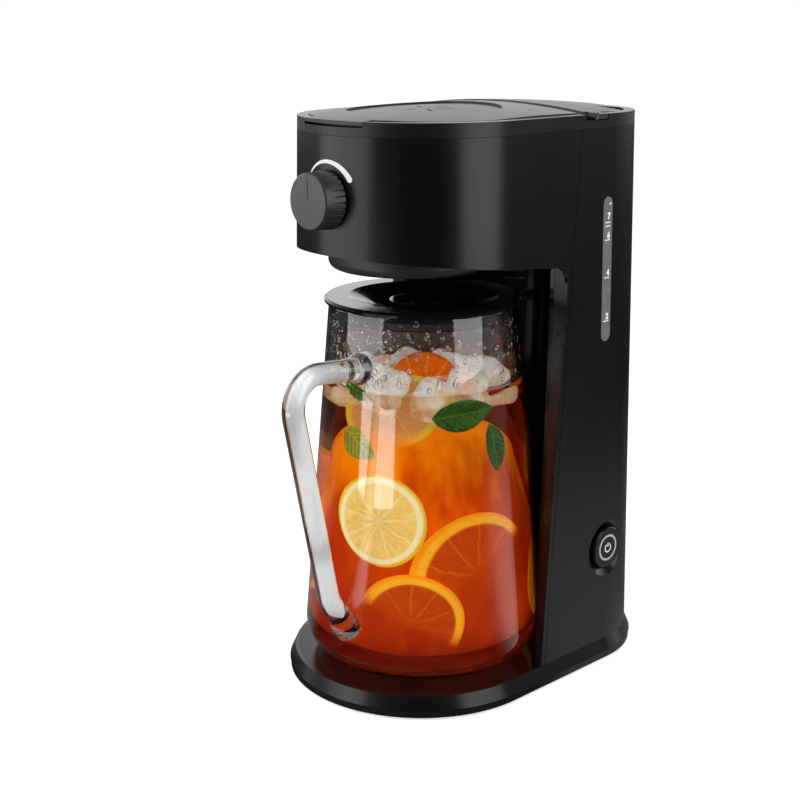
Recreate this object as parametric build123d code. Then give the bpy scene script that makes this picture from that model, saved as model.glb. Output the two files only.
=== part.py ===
from build123d import *
import os
from math import atan, cos, degrees, pi, radians, sin, sqrt, tan

# An iced tea maker: a slim tower with a brewing head over a round-fronted base, and a glass jug
# that stands between them. Millimetres, +Z up, front towards -Y. Everything is drawn about the
# middle of the base and moved at the end, so that the origin lies on the floor under the middle of
# the overall box.

# ---------------------------------------------------------------- driving dimensions
# Outline of the base seen from above: a half circle in front, straight sides, round rear corners.
base_width = 180.0
base_length = 254.0
rear_corner_radius = 67.0

# Heights, from the floor up.
foot_height = 2.0
pan_height = 5.0
pan_floor = 2.0
pan_inset = 0.5
base_shell_height = 8.4
tower_height = 350.6
ring_height = 9.0
base_edge_inset = 3.8
housing_draft = 1.25
wall = 2.5
seam_gap = 0.4
fit_gap = 0.2
slide_gap = 0.3

# The leaning front of the column, and the joint between front and rear housings behind it.
column_lean = 4.9
seam_setback = 32.8
border_width = 3.5
bay_corner_radius = 11.0

# The head over the jug: its lower edge falls towards the back.
head_front_z = 294.0
head_fall = 5.7
floor_recess = 3.0

# Jug of glass.
jug_offset = 2.0
jug_rim_z = 256.0
jug_rim_radius = 61.5
jug_flare = 4.72
jug_foot_rounding = 21.0
jug_wall = 3.0
spout_skin = 2.4
jug_floor = 8.0
jug_lift = 0.1
spout_reach = 8.5
spout_depth = 30.0
spout_top_radius = 12.0
spout_tip_radius = 4.0
recess_radius = 82.5

# Handle of the jug, in a plane turned a little from straight ahead. Reach is from the jug's axis.
handle_turn = 7.0
handle_radius = 7.25
handle_top_z = 228.9
handle_top_rise = 7.2
handle_reach = 129.6
handle_foot_z = 74.8
handle_foot_reach = 94.4
handle_foot_drop = 21.7
handle_top_bend = 20.0
handle_foot_bend = 24.0
handle_boss_radius = 10.5

# Lid of the jug.
jug_lid_radius = 64.5
jug_lid_rim_height = 3.0
jug_lid_rise = 0.3
dish_radius = 49.0
dish_depth = 10.0
drip_ring_radius = 22.0
drip_ring_wall = 2.2
drip_ring_height = 7.0
drip_hole_radius = 3.0
drip_hole_circle = 13.0
drip_hole_count = 6
lid_plug_depth = 10.0
lid_skin = 2.4
lid_tab_reach = 76.0
lid_tab_width = 30.0
lid_tab_turn = 54.0
tab_recess_length = 20.0
tab_recess_width = 8.0
tab_recess_depth = 1.0
lid_seal_height = 4.0
lid_seal_proud = 1.6
lid_plug_gap = 1.0

# Brewing chamber, basket and filter.
basket_radius = 52.0
basket_bottom_z = 279.6
basket_top_z = 345.0
basket_rounding = 5.5
basket_clearance = 0.8
basket_skin = 2.4
basket_floor = 3.0
basket_flange = 7.0
flange_thickness = 2.6
chamber_skin = 2.4
collar_gap = 2.6
filter_skin = 1.4
filter_floor_z = 301.0
filter_slots = 10
filter_slot_width = 18.0
filter_rib = 7.5
mesh_thickness = 0.5

# Drip stop in the basket's floor.
stem_radius = 3.6
stem_reach = 6.0
valve_head_radius = 8.0
valve_head_height = 2.5
valve_seal_height = 1.4
post_radius = 2.5
spring_radius = 5.2
spring_wire = 0.9
spring_turns = 4
spring_length = 9.5
bridge_thickness = 2.0
bridge_width = 7.0

# Lids on top: both are crowned, and turn on short steel pins.
rim_width = 7.2
lid_side_gap = 0.6
lid_top_skin = 2.5
crown_height = 5.5
crown_radius_across = 560.0
crown_radius_along = 1272.0
tank_lid_step = 0.8
lids_joint_setback = 69.6
lids_joint_gap = 2.0
lid_edge_radius = 2.0
skirt_wall = 1.8
ledge_height = 3.0
ledge_width = 3.0
lid_drop_gap = 0.2
tab_half_width = 26.0
tab_sink = 2.0
notch_depth = 3.5
brew_dish_radius = 49.0
brew_dish_depth = 1.5
vent_count = 6
vent_length = 12.0
vent_width = 1.4
vent_inner_radius = 8.0
brew_hinge_lead = 11.6
brew_hinge_z = 370.8
tank_hinge_setback = 8.4
tank_hinge_z = 373.4
pin_radius = 1.1
pin_fit = 0.05
knuckle_radius = 2.4
knuckle_length = 5.0
lug_length = 5.0
hinge_swing_room = 7.5
hinge_notch_length = 22.0
hinge_notch_floor_z = 371.2
grip_length = 49.0
grip_half_width = 47.0
grip_drop = 2.0
grip_margin = 3.5
grip_corner_radius = 6.0

# Spray tray under the brew lid.
spray_radius = 36.0
spray_skin = 2.0
spray_z = 349.5
spray_hole_radius = 1.6
spray_hole_count = 8
spray_hole_circle = 24.0
spray_slot_half_width = 8.0

# Water tank and its level window.
tank_floor_z = 206.0
tank_top_z = 357.0
tank_skin = 2.2
tank_gap = 1.2
shelf_thickness = 3.0
riser_bay_margin = 20.0
riser_bay_x = -42.0
window_y = 53.5
window_z = 275.0
window_length = 95.0
window_width = 9.5
window_sink = 0.2

# Power button.
button_y = 60.5
button_z = 81.5
bezel_radius = 22.3
button_radius = 14.4
button_bore_gap = 0.5
bezel_depth = 7.0
dish_mouth_radius = 20.0
button_dish_depth = 3.2
button_length = 9.0
button_proud = 0.4
button_travel = 2.0
light_ring_radius = 9.3
light_ring_width = 1.5
light_ring_depth = 1.2
switch_width = 22.0
switch_height = 28.0
switch_depth = 16.0
switch_margin = 2.0
cradle_radius = 20.0
cradle_plate = 2.4
plunger_radius = 3.0
switch_setback = 2.0
switch_dip = 4.0
blade_width = 6.0
blade_thickness = 1.0
blade_reach = 8.0
blade_spacing = 10.0

# Strength knob.
knob_z = 328.0
knob_radius = 17.0
knob_flare = 1.0
knob_length = 14.6
knob_gap = 0.5
knob_ribs = 30
rib_depth = 0.7
knob_hollow_wall = 2.2
shaft_radius = 3.0
valve_block_width = 22.0
valve_block_height = 22.0
valve_block_depth = 8.6

# Heater in the foot of the tower, and its plumbing.
heater_setback = 37.0
heater_bottom_z = 48.0
heater_leg = 56.0
heater_bend_radius = 34.0
heater_width = 22.0
heater_depth = 15.0
stub_radius = 5.0
stub_length = 12.0
stub_bore = 3.6
hose_radius = 6.8
hose_bend = 18.0
check_valve_radius = 8.5
check_valve_length = 20.0
riser_x = -62.0
riser_setback = 71.0
riser_turn_rise = 18.0
riser_slant_rise = 12.0
spout_clearance = 7.7
spout_corner_z = 350.0
spout_radius = 4.0
spout_bore = 2.6
spout_bend = 9.0
spout_run = 24.0
spout_insert = 8.0
spout_tip_z = 359.0
saddle_half_width = 4.0
saddle_height = 20.0
saddle_length = 9.0
clamp_radius = 8.4
clamp_length = 6.0
bracket_thickness = 1.6
bracket_foot = 14.0
thermostat_radius = 8.5
thermostat_height = 6.0
thermostat_ear = 5.0
thermostat_ear_thickness = 1.0
fuse_radius = 2.4
fuse_length = 18.0
fuse_rise = 8.0
terminal_length = 34.0
terminal_height = 12.0
terminal_depth = 14.0
terminal_gap = 4.0
gland_collar = 3.0

# Cord gland, feet and screws.
gland_x = -9.0
gland_z = 34.0
gland_radius = 7.5
gland_flange_radius = 10.5
gland_bore = 3.6
gland_reach = 9.0
foot_radius = 9.0
foot_seat = 1.0
foot_x = 56.0
foot_front_setback = 53.0
foot_rear_setback = 39.0
screw_radius = 1.6
screw_head_radius = 3.2
screw_head_height = 1.8
screw_boss_radius = 5.5
screw_x = 68.0
screw_front_setback = 79.0
screw_rear_setback = 65.0
screw_middle_y = 6.0

# Deck under the jug.
deck_margin = 3.4
deck_thickness = 2.0

# ---------------------------------------------------------------- derived places
far = 400.0
same_place = 0.01
on_end = (Align.CENTER, Align.CENTER, Align.MIN)
side = base_width / 2
rear = base_length / 2
front_centre_y = side - rear
rear_centre_y = rear - rear_corner_radius
back_half_width = side - rear_corner_radius
pan_top = foot_height + pan_height
base_top = pan_top + base_shell_height
ring_seam_z = base_top + tower_height
ring_top = ring_seam_z + ring_height
jug_bottom = base_top + jug_lift
floor_slope = tan(radians(head_fall))
lean_slope = tan(radians(column_lean))
draft_slope = tan(radians(housing_draft))
seam_foot_y = front_centre_y + seam_setback
jug_y = front_centre_y + jug_offset
lids_joint_y = front_centre_y + lids_joint_setback
brew_hinge_y = lids_joint_y - brew_hinge_lead
tank_hinge_y = lids_joint_y + tank_hinge_setback
riser_y = front_centre_y + riser_setback
riser_bay_y = riser_y + riser_bay_margin
grip_y = rear - grip_length
heater_y = rear - heater_setback
terminal_y = jug_y + recess_radius + wall + terminal_gap
foot_front_y = foot_front_setback - rear
foot_rear_y = rear - foot_rear_setback
screw_front_y = screw_front_setback - rear
screw_rear_y = rear - screw_rear_setback


def skin(z):
    """How far the housing's outer face lies inside the foot line at height z."""
    return base_edge_inset + (z - base_top) * draft_slope


def wall_x(z):
    """Half the housing's width at height z."""
    return side - skin(z)


def front_y(z):
    """The foremost point of the housing at height z."""
    return front_centre_y - wall_x(z)


def rear_y(z):
    """The back of the housing at height z."""
    return rear - skin(z)


def seam_y(z):
    """The joint between the front and rear housings, seen from the side."""
    return seam_foot_y + (z - base_top) * lean_slope


def face_y(z):
    """The front face of the column, seen from the side."""
    return seam_y(z) - border_width


def head_z(y):
    """The lower edge of the head, seen from the side."""
    return head_front_z - (y - front_y(head_front_z)) * floor_slope


# The basket's collar stands behind the valve of the knob, and the spout's elbow behind the basket's flange.
collar_radius = basket_radius + basket_clearance + chamber_skin
basket_y = front_y(knob_z) + wall + valve_block_depth + collar_gap + collar_radius
spout_corner_y = basket_y + basket_radius + basket_flange + basket_clearance + spout_clearance
spout_tip_y = jug_y + spray_radius - spray_skin


# ---------------------------------------------------------------- shared shapes
def plan(inset):
    """The D-shaped outline, drawn in by inset, as a face on the floor."""
    front = side - inset
    corner = rear_corner_radius - inset
    diagonal = corner * sqrt(0.5)
    back = rear_centre_y + corner
    edges = [
        ThreePointArc((-front, front_centre_y), (0, front_centre_y - front), (front, front_centre_y)),
        Line((front, front_centre_y), (front, rear_centre_y)),
        ThreePointArc(
            (front, rear_centre_y),
            (back_half_width + diagonal, rear_centre_y + diagonal),
            (back_half_width, back),
        ),
        Line((back_half_width, back), (-back_half_width, back)),
        ThreePointArc(
            (-back_half_width, back),
            (-back_half_width - diagonal, rear_centre_y + diagonal),
            (-front, rear_centre_y),
        ),
        Line((-front, rear_centre_y), (-front, front_centre_y)),
    ]
    return make_face(edges)


def drafted(low, high, inset, angle):
    """The outline raised from low to high, narrowing by angle in degrees."""
    return extrude(Pos(0, 0, low) * plan(inset), high - low, taper=angle)


def housing_block(low, high, inward=0.0):
    """The housing's solid outer form between two heights, drawn in by inward."""
    return drafted(low, high, skin(low) + inward, housing_draft)


def side_prism(points):
    """A profile of (y, z) points carried right across the width."""
    return extrude(Plane.YZ * make_face(Polyline(*points, close=True)), far, both=True)


def behind(offset):
    """All that lies behind the leaning joint, set back by offset."""
    low, high = -far, 2 * far
    near = [(seam_y(low) + offset, low), (seam_y(high) + offset, high)]
    return side_prism([*near, (4 * far, high), (4 * far, low)])


def above_head(rise):
    """All that lies above the head's sloping lower edge, raised by rise."""
    edge = [(-far, head_z(-far) + rise), (far, head_z(far) + rise)]
    return side_prism([*edge, (far, 3 * far), (-far, 3 * far)])


def upright(x, y, radius, low, high):
    """A vertical cylinder."""
    return Pos(x, y, low) * Cylinder(radius, high - low, align=on_end)


def along_x(y, z, radius, low, high):
    """A cylinder along X."""
    return Pos(low, y, z) * Rot(0, 90, 0) * Cylinder(radius, high - low, align=on_end)


def along_y(x, z, radius, low, high):
    """A cylinder along Y."""
    return Pos(x, low, z) * Rot(-90, 0, 0) * Cylinder(radius, high - low, align=on_end)


def block(low, high):
    """A box between two corners."""
    size = [b - a for a, b in zip(low, high)]
    return Pos(*low) * Box(*size, align=(Align.MIN, Align.MIN, Align.MIN))


def turned(points, x, y):
    """A profile of (radius, z) points turned about a vertical axis."""
    face = make_face(Polyline(*[(r, 0, z) for r, z in points], close=True))
    return Pos(x, y, 0) * revolve(face, Axis.Z)


def tube(points, radius, bend, bore=0.0):
    """A round bar or hose along straight runs joined by tangent arcs."""
    path = FilletPolyline(*points, radius=bend)
    start = Plane(origin=path @ 0, z_dir=path % 0)
    solid = sweep(start * Circle(radius), path=path)
    if bore:
        solid -= sweep(start * Circle(bore), path=path)
    return solid


# ---------------------------------------------------------------- base
foot_places = [(sx * foot_x, y) for sx in (-1, 1) for y in (foot_front_y, foot_rear_y)]
screw_places = [(sx * screw_x, y) for sx in (-1, 1) for y in (screw_front_y, screw_middle_y, screw_rear_y)]


def deck_area(low, high, clearance):
    """The floor of the jug's bay, from the base's rim to the column."""
    rim = base_edge_inset + deck_margin
    open_floor = drafted(low, high, rim - clearance, 0) - behind(-border_width - seam_gap + clearance)
    recess = upright(0, jug_y, recess_radius - seam_gap + clearance, low, high)
    return open_floor + (recess & drafted(low, high, rim - clearance, 0))


def make_base_shell():
    slope = degrees(atan(base_edge_inset / base_shell_height))
    plate_low = base_top - deck_thickness - wall
    shell = drafted(pan_top, base_top, 0, slope)
    hollow_inset = wall + (plate_low - pan_top) * tan(radians(slope))
    shell -= drafted(pan_top, plate_low, hollow_inset, 0)
    shell -= deck_area(base_top - deck_thickness, base_top + wall, fit_gap)
    for x, y in screw_places:
        shell += upright(x, y, screw_boss_radius, pan_top, plate_low)
        shell -= upright(x, y, screw_radius + fit_gap / 2, pan_top, plate_low + wall / 2)
    return shell


def make_base_pan():
    pan = drafted(foot_height, pan_top, pan_inset, 0)
    pan -= drafted(foot_height + pan_floor, pan_top, pan_inset + wall, 0)
    for x, y in screw_places:
        pan += upright(x, y, screw_boss_radius, foot_height + pan_floor, pan_top)
        pan -= upright(x, y, screw_radius + fit_gap, foot_height, pan_top)
        sink = foot_height + screw_head_height + fit_gap
        pan -= upright(x, y, screw_head_radius + slide_gap, foot_height, sink)
    for x, y in foot_places:
        pan -= upright(x, y, foot_radius + fit_gap / 2, foot_height, foot_height + foot_seat)
    return pan


def make_feet():
    foot = [upright(x, y, foot_radius, 0, foot_height + foot_seat) for x, y in foot_places]
    return Compound([chamfer(f.edges().group_by(Axis.Z)[0], foot_height / 4) for f in foot])


def make_base_screws():
    screws = []
    head_low = foot_height + fit_gap
    head_high = head_low + screw_head_height
    for x, y in screw_places:
        screw = upright(x, y, screw_head_radius, head_low, head_high)
        screw += upright(x, y, screw_radius, head_high, base_top - deck_thickness - wall)
        screws.append(screw)
    return Compound(screws)


# ---------------------------------------------------------------- housings
def make_shell():
    """The thin drafted wall of the whole tower and head."""
    return housing_block(base_top, ring_seam_z) - housing_block(base_top - wall, ring_seam_z + wall, wall)


def make_bay():
    """The open space for the jug: ahead of the column and under the head, with a rounded inner corner."""
    low = base_top - far / 4
    rise = head_z(0) + floor_slope * (lean_slope * base_top - face_y(base_top))
    corner_z = rise / (1 + floor_slope * lean_slope)
    corner = (face_y(corner_z), corner_z)
    points = [(-far, low), (face_y(low), low), corner, (-far, head_z(-far))]
    face = make_face(Polyline(*points, close=True))
    face = fillet(face.vertices().sort_by_distance(corner)[0], bay_corner_radius)
    return extrude(Plane.YZ * face, far, both=True)


def recess(grow=0.0):
    """The round recess in the column that the jug backs into."""
    return upright(0, jug_y, recess_radius + grow, -far, far)


def make_front_housing():
    front = make_shell() - behind(0) - make_bay()
    plate = behind(-border_width) - behind(wall - border_width)
    plate &= housing_block(base_top, head_front_z + floor_recess, wall / 2)
    plate -= recess(wall + fit_gap) + above_head(floor_recess - fit_gap)
    rim_z = ring_seam_z - wall
    lip = housing_block(rim_z, ring_seam_z, wall / 2)
    lip -= housing_block(rim_z - wall, ring_seam_z + wall, 2 * wall)
    hole = along_y(0, knob_z, shaft_radius + slide_gap, -far, front_centre_y)
    return front + plate + (lip - behind(0)) - hole


def make_column_cover():
    cover = recess(wall) - recess()
    cover &= behind(-border_width) & housing_block(base_top, ring_seam_z, wall + fit_gap)
    return cover - above_head(floor_recess - fit_gap)


def button_axis_x():
    """Where the housing's side meets the button's axis."""
    return wall_x(button_z)


def window_slot(clearance):
    slot = SlotOverall(window_length - 2 * clearance, window_width - 2 * clearance, rotation=90)
    return extrude(Plane.YZ * Pos(window_y, window_z) * slot, far)


def make_rear_housing():
    shell = make_shell() & behind(seam_gap)
    shell -= window_slot(0)
    shell -= along_x(button_y, button_z, bezel_radius + fit_gap, 0, far)
    return shell - along_y(gland_x, gland_z, gland_radius + fit_gap / 2, 0, far)


def make_level_window():
    skin_layer = housing_block(base_top, ring_seam_z, window_sink)
    skin_layer -= housing_block(base_top - wall, ring_top, wall)
    return skin_layer & window_slot(fit_gap / 2)


# ---------------------------------------------------------------- top ring and lids
def crown(rise):
    """A solid under a shallow surface that is curved both ways, with its top at the ring plus rise."""
    top = ring_top + crown_height + rise
    half = base_length
    drop = crown_radius_along - sqrt(crown_radius_along**2 - half**2)
    low = top - 4 * crown_height - drop
    arc = ThreePointArc((-half, top - drop), (0, top), (half, top - drop))
    sides = Polyline((half, top - drop), (half, low), (-half, low), (-half, top - drop))
    profile = Plane.YZ * make_face([arc, *sides.edges()])
    axis = Axis((0, 0, top - crown_radius_across), (0, 1, 0))
    swing = 2 * degrees(atan(side / crown_radius_across))
    return revolve(profile.rotate(axis, -swing / 2), axis, swing)


def lid_prism(inset, low, front):
    """The part of the ring's opening that one lid fills, front or rear, up past the crown."""
    high = ring_top + 3 * crown_height
    prism = drafted(low, high, skin(ring_top) + rim_width + inset, 0)
    cut = lids_joint_y if front else lids_joint_y + lids_joint_gap
    near, away = (-far, cut) if front else (cut, far)
    return prism & block((-far, near, 0), (far, away, far * 2))


def make_swing_room():
    """The strip across the top where the two lids' hinges swing."""
    near, away = brew_hinge_y - hinge_swing_room, tank_hinge_y + hinge_swing_room
    return block((-far, near, 0), (far, away, 2 * far))


def hinge_spots(inner, outer):
    """x ranges of a hinge part on both sides."""
    return [(inner, outer), (-outer, -inner)]


inner_wall_x = wall_x(ring_top) - rim_width
lug_outer_x = inner_wall_x - lid_side_gap - skirt_wall
tank_lug = (lug_outer_x - lug_length, lug_outer_x)
brew_lug = tank_lug
brew_knuckle = (brew_lug[0] - slide_gap - knuckle_length, brew_lug[0] - slide_gap)
tank_ear = (tank_lug[1] + slide_gap, wall_x(ring_top) - seam_gap)


def make_top_ring():
    low, ledge_top = ring_seam_z + seam_gap / 2, ring_seam_z + ledge_height
    mouth_inset = skin(ring_top) + rim_width
    mouth = drafted(ring_seam_z - wall, ring_top + wall, mouth_inset, 0)
    ring = housing_block(low, ring_top) - mouth
    swing_room = make_swing_room()
    ledge = drafted(low, ledge_top, mouth_inset - wall, 0)
    ledge -= drafted(ring_seam_z - wall, ring_top, mouth_inset + ledge_width, 0)
    ring += ledge - (swing_room & mouth)
    hollow = drafted(ring_seam_z - wall, ring_top - 2 * wall, skin(ring_seam_z) + wall, 0)
    hollow -= drafted(ring_seam_z - 2 * wall, ring_top, mouth_inset - wall, 0)
    ring -= hollow - swing_room
    notch = (tab_half_width + slide_gap, ring_top - notch_depth)
    ring -= block((-notch[0], -far, notch[1]), (notch[0], front_centre_y, 2 * far))
    notch_y = tank_hinge_y - hinge_notch_length / 2
    for low_x, high_x in hinge_spots(tank_lug[0], far):
        ring -= block((low_x, notch_y, hinge_notch_floor_z), (high_x, notch_y + hinge_notch_length, 2 * far))
        ring -= along_x(tank_hinge_y, tank_hinge_z, knuckle_radius + slide_gap, low_x, high_x)
    for low_x, high_x in hinge_spots(*tank_lug):
        ring += hinge_lug(tank_hinge_y, tank_hinge_z, low_x, high_x, 1)
    for low_x, high_x in hinge_spots(*brew_lug):
        ring += hinge_lug(brew_hinge_y, brew_hinge_z, low_x, high_x, -1)
    return ring - make_pin_room()


def hinge_lug(y, z, low, high, way):
    """A bearing for a hinge pin and the web that carries it on the ring's inner side."""
    radius = knuckle_radius - slide_gap
    y0, y1 = sorted((y, y + way * 2 * radius))
    floor_z = ring_seam_z + seam_gap / 2
    foot_low, foot_high = (low, inner_wall_x + wall) if low > 0 else (-inner_wall_x - wall, high)
    foot = block((foot_low, y0, floor_z), (foot_high, y1, ring_seam_z + ledge_height))
    return along_x(y, z, radius, low, high) + foot + block((low, y0, floor_z), (high, y1, z - radius / 2))


def make_pin_room():
    """The holes for the pins in all the bearings."""
    room = []
    for y, z, (low, high) in ((tank_hinge_y, tank_hinge_z, tank_lug), (brew_hinge_y, brew_hinge_z, brew_lug)):
        room += [along_x(y, z, pin_radius + pin_fit / 2, a, b) for a, b in hinge_spots(low, high)]
    return room[0] + room[1:]


def make_brew_pins():
    spots = hinge_spots(brew_knuckle[0], brew_lug[1])
    return Compound([along_x(brew_hinge_y, brew_hinge_z, pin_radius, a, b) for a, b in spots])


def make_tank_pins():
    spots = hinge_spots(tank_lug[0], wall_x(tank_hinge_z))
    return Compound([along_x(tank_hinge_y, tank_hinge_z, pin_radius, a, b) for a, b in spots])


def lid_body(front, rise):
    """A crowned plate with a skirt that stands on the ring's ledge."""
    low = ring_seam_z + ledge_height + lid_drop_gap
    plate = lid_prism(lid_side_gap, low, front) & crown(rise)
    pocket = lid_prism(lid_side_gap + skirt_wall, low - wall, front) & crown(rise - lid_top_skin)
    swing_room = make_swing_room()
    return plate - pocket - (swing_room & crown(rise - lid_top_skin))


def round_joint_edge(lid, joint_y):
    """Rounds the lid's upper edge along the joint between the lids."""
    edge = lid.edges().filter_by(lambda e: abs(e.center().Y - joint_y) < same_place).sort_by(Axis.Z)[-1]
    return fillet(edge, lid_edge_radius)


def make_brew_lid():
    lid = round_joint_edge(lid_body(True, 0), lids_joint_y)
    tab_low = ring_top - tab_sink
    tab = drafted(tab_low, ring_top + crown_height, skin(ring_top), 0)
    tab &= block((-tab_half_width, -far, tab_low), (tab_half_width, front_centre_y, far))
    root = skin(ring_top) + rim_width + lid_side_gap + wall / 2
    tab -= drafted(tab_low - wall, ring_top + 2 * crown_height, root, 0)
    lid += tab & crown(0)
    dish = upright(0, jug_y, brew_dish_radius, ring_top - crown_height, ring_top + 2 * crown_height)
    lid -= dish - crown(-brew_dish_depth)
    lid += (dish & crown(-brew_dish_depth)) - crown(-brew_dish_depth - lid_top_skin)
    for i in range(vent_count):
        vent_end = vent_inner_radius + vent_length
        vent = block((vent_inner_radius, -vent_width / 2, 0), (vent_end, vent_width / 2, far * 2))
        lid -= Pos(0, jug_y, 0) * Rot(0, 0, 360 / vent_count * (i + 0.5)) * vent
    for low, high in hinge_spots(*brew_knuckle):
        near, back = brew_hinge_y - knuckle_radius, brew_hinge_y + knuckle_radius
        lid += block((low, near, brew_hinge_z), (high, back, 2 * far)) & crown(-lid_top_skin / 2)
        lid += along_x(brew_hinge_y, brew_hinge_z, knuckle_radius, low, high)
        lid -= along_x(brew_hinge_y, brew_hinge_z, pin_radius + pin_fit, low, high)
    for low, high in hinge_spots(brew_lug[0] - slide_gap, brew_lug[1] + slide_gap):
        lid -= along_x(brew_hinge_y, brew_hinge_z, knuckle_radius, low, high)
    return lid


def crown_z(y, rise):
    """Height of the crowned surface over the middle line, at y."""
    return ring_top + crown_height + rise - crown_radius_along + sqrt(crown_radius_along**2 - y**2)


def make_grip_relief():
    """What is cut from the tank lid beside and behind its tongue, deeper towards the back."""
    back = rear_y(ring_top) - rim_width - lid_side_gap
    fall = degrees(atan(grip_drop / (back - grip_y)))
    sloped = crown(tank_lid_step).rotate(Axis((0, grip_y, crown_z(grip_y, tank_lid_step)), (1, 0, 0)), -fall)
    length = 2 * (back - grip_margin - grip_y)
    tongue = Pos(0, grip_y) * RectangleRounded(2 * grip_half_width, length, grip_corner_radius)
    zone = block((-far, grip_y, ring_seam_z), (far, far, 2 * far)) - extrude(tongue, 2 * far)
    return zone - sloped


def make_tank_lid():
    joint_y = lids_joint_y + lids_joint_gap
    lid = round_joint_edge(lid_body(False, tank_lid_step), joint_y)
    wing_low = hinge_notch_floor_z + 2 * slide_gap
    wing_back = tank_hinge_y + hinge_notch_length / 2 - slide_gap
    for low, high in hinge_spots(*tank_ear):
        wing = block((low, tank_hinge_y, wing_low), (high, wing_back, 2 * far))
        lid += wing & crown(tank_lid_step)
        lid += along_x(tank_hinge_y, tank_hinge_z, knuckle_radius, low, high)
    for low, high in hinge_spots(tank_lug[0] - slide_gap, tank_lug[1] + slide_gap):
        lid -= along_x(tank_hinge_y, tank_hinge_z, knuckle_radius, low, high)
    for low, high in hinge_spots(tank_lug[0] - slide_gap, tank_ear[1] + wall):
        lid -= along_x(tank_hinge_y, tank_hinge_z, pin_radius + pin_fit, low, high)
    return lid - make_grip_relief()


def make_spray_tray():
    tray = upright(0, jug_y, spray_radius, spray_z, ring_top + 2 * crown_height)
    tray -= upright(0, jug_y, spray_radius - spray_skin, spray_z + spray_skin, ring_top + 3 * crown_height)
    tray &= crown(-brew_dish_depth - lid_top_skin)
    half = spray_slot_half_width
    tray -= block((-half, jug_y, spray_z + spray_skin), (half, far, far * 2))
    for i in range(spray_hole_count):
        turn = radians(360 / spray_hole_count * i)
        x, y = spray_hole_circle * cos(turn), jug_y + spray_hole_circle * sin(turn)
        tray -= upright(x, y, spray_hole_radius, spray_z - wall, spray_z + 2 * spray_skin)
    return tray


# ---------------------------------------------------------------- brewing parts in the head
def make_brew_chamber():
    """The head's floor, with a collar that holds the basket and a saddle for the water spout."""
    inside = housing_block(base_top, ring_seam_z, wall + fit_gap)
    floor_zone = recess(wall) + (inside - behind(-border_width))
    plate = above_head(floor_recess) - above_head(floor_recess + chamber_skin)
    plate &= floor_zone & inside
    collar_top = basket_top_z - flange_thickness - fit_gap
    bore = basket_radius + basket_clearance
    collar = upright(0, basket_y, collar_radius, 0, collar_top) & above_head(floor_recess)
    spout_low = spout_corner_z - spout_radius - fit_gap / 2
    half, saddle_low = saddle_half_width, spout_low - saddle_height
    arm = block((-half, basket_y + bore, saddle_low), (half, spout_corner_y, collar_top))
    seat = block((-half, spout_corner_y - saddle_length, saddle_low), (half, spout_corner_y, spout_low))
    seat -= upright(0, basket_y, basket_radius + basket_flange + basket_clearance, 0, far)
    return plate + collar + arm + seat - upright(0, basket_y, bore, 0, far)


def make_basket():
    outer = upright(0, basket_y, basket_radius, basket_bottom_z, basket_top_z)
    outer = fillet(outer.edges().group_by(Axis.Z)[0], basket_rounding)
    flange_low = basket_top_z - flange_thickness
    outer += upright(0, basket_y, basket_radius + basket_flange, flange_low, basket_top_z)
    inner_radius, floor_top = basket_radius - basket_skin, basket_bottom_z + basket_floor
    inner = upright(0, basket_y, inner_radius, floor_top, basket_top_z + wall)
    inner = fillet(inner.edges().group_by(Axis.Z)[0], basket_rounding - basket_skin)
    basket = outer - inner - upright(0, basket_y, stem_radius + slide_gap, 0, far)
    for sx in (-1, 1):
        post_x = sx * (valve_head_radius + 2 * post_radius)
        basket += upright(post_x, basket_y, post_radius, basket_bottom_z + basket_floor / 2, bridge_z())
    return basket


def seal_top():
    return basket_bottom_z + basket_floor + valve_seal_height


def bridge_z():
    """Underside of the bar that holds the drip stop's spring."""
    return seal_top() + fit_gap / 2 + valve_head_height + spring_length


def make_valve_seal():
    ring = upright(0, basket_y, valve_head_radius, basket_bottom_z + basket_floor, seal_top())
    return ring - upright(0, basket_y, stem_radius + slide_gap, 0, far)


def make_drip_valve():
    head_low = seal_top() + fit_gap / 2
    stem = upright(0, basket_y, stem_radius, basket_bottom_z - stem_reach, head_low)
    stem = chamfer(stem.edges().group_by(Axis.Z)[0], stem_radius / 4)
    head = upright(0, basket_y, valve_head_radius, head_low, head_low + valve_head_height)
    return stem + head


def coil(x, y, low, high, radius, wire, turns):
    """A coil spring of round wire as one tube, with a pair of tangent arcs to each quarter turn."""
    quarters = 4 * turns
    climb = high - low - wire
    slope = climb / (2 * pi * turns)

    def place(i):
        turn = i * pi / 2
        return Vector(x + radius * cos(turn), y + radius * sin(turn), low + wire / 2 + climb * i / quarters)

    def heading(i):
        turn = i * pi / 2
        return Vector(-radius * sin(turn), radius * cos(turn), slope).normalized()

    edges = []
    for i in range(quarters):
        start, end, out, into = place(i), place(i + 1), heading(i), heading(i + 1)
        chord, both = end - start, out + into
        spread = 1 - out.dot(into)
        along = chord.dot(both)
        arm = (sqrt(along**2 + 2 * spread * chord.dot(chord)) - along) / (2 * spread)
        near, away = start + out * arm, end - into * arm
        middle = (near + away) / 2
        edges.append(TangentArc(start, middle, tangent=out))
        edges.append(TangentArc(middle, end, tangent=away - near))
    steps = 24
    samples = [edge @ (k / steps) for edge in edges for k in range(steps)]
    apart = 4 * steps
    gap = min((p - q).length for i, p in enumerate(samples) for q in samples[i + apart :]) - wire
    print("the spring's least gap to itself is", round(gap, 3), "mm")
    section = Plane(origin=place(0), z_dir=heading(0)) * Circle(wire / 2)
    return sweep(section, path=Wire(edges))


def make_valve_spring():
    low = seal_top() + fit_gap / 2 + valve_head_height
    mean = spring_radius - spring_wire / 2
    return coil(0, basket_y, low, bridge_z(), mean, spring_wire, spring_turns)


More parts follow.
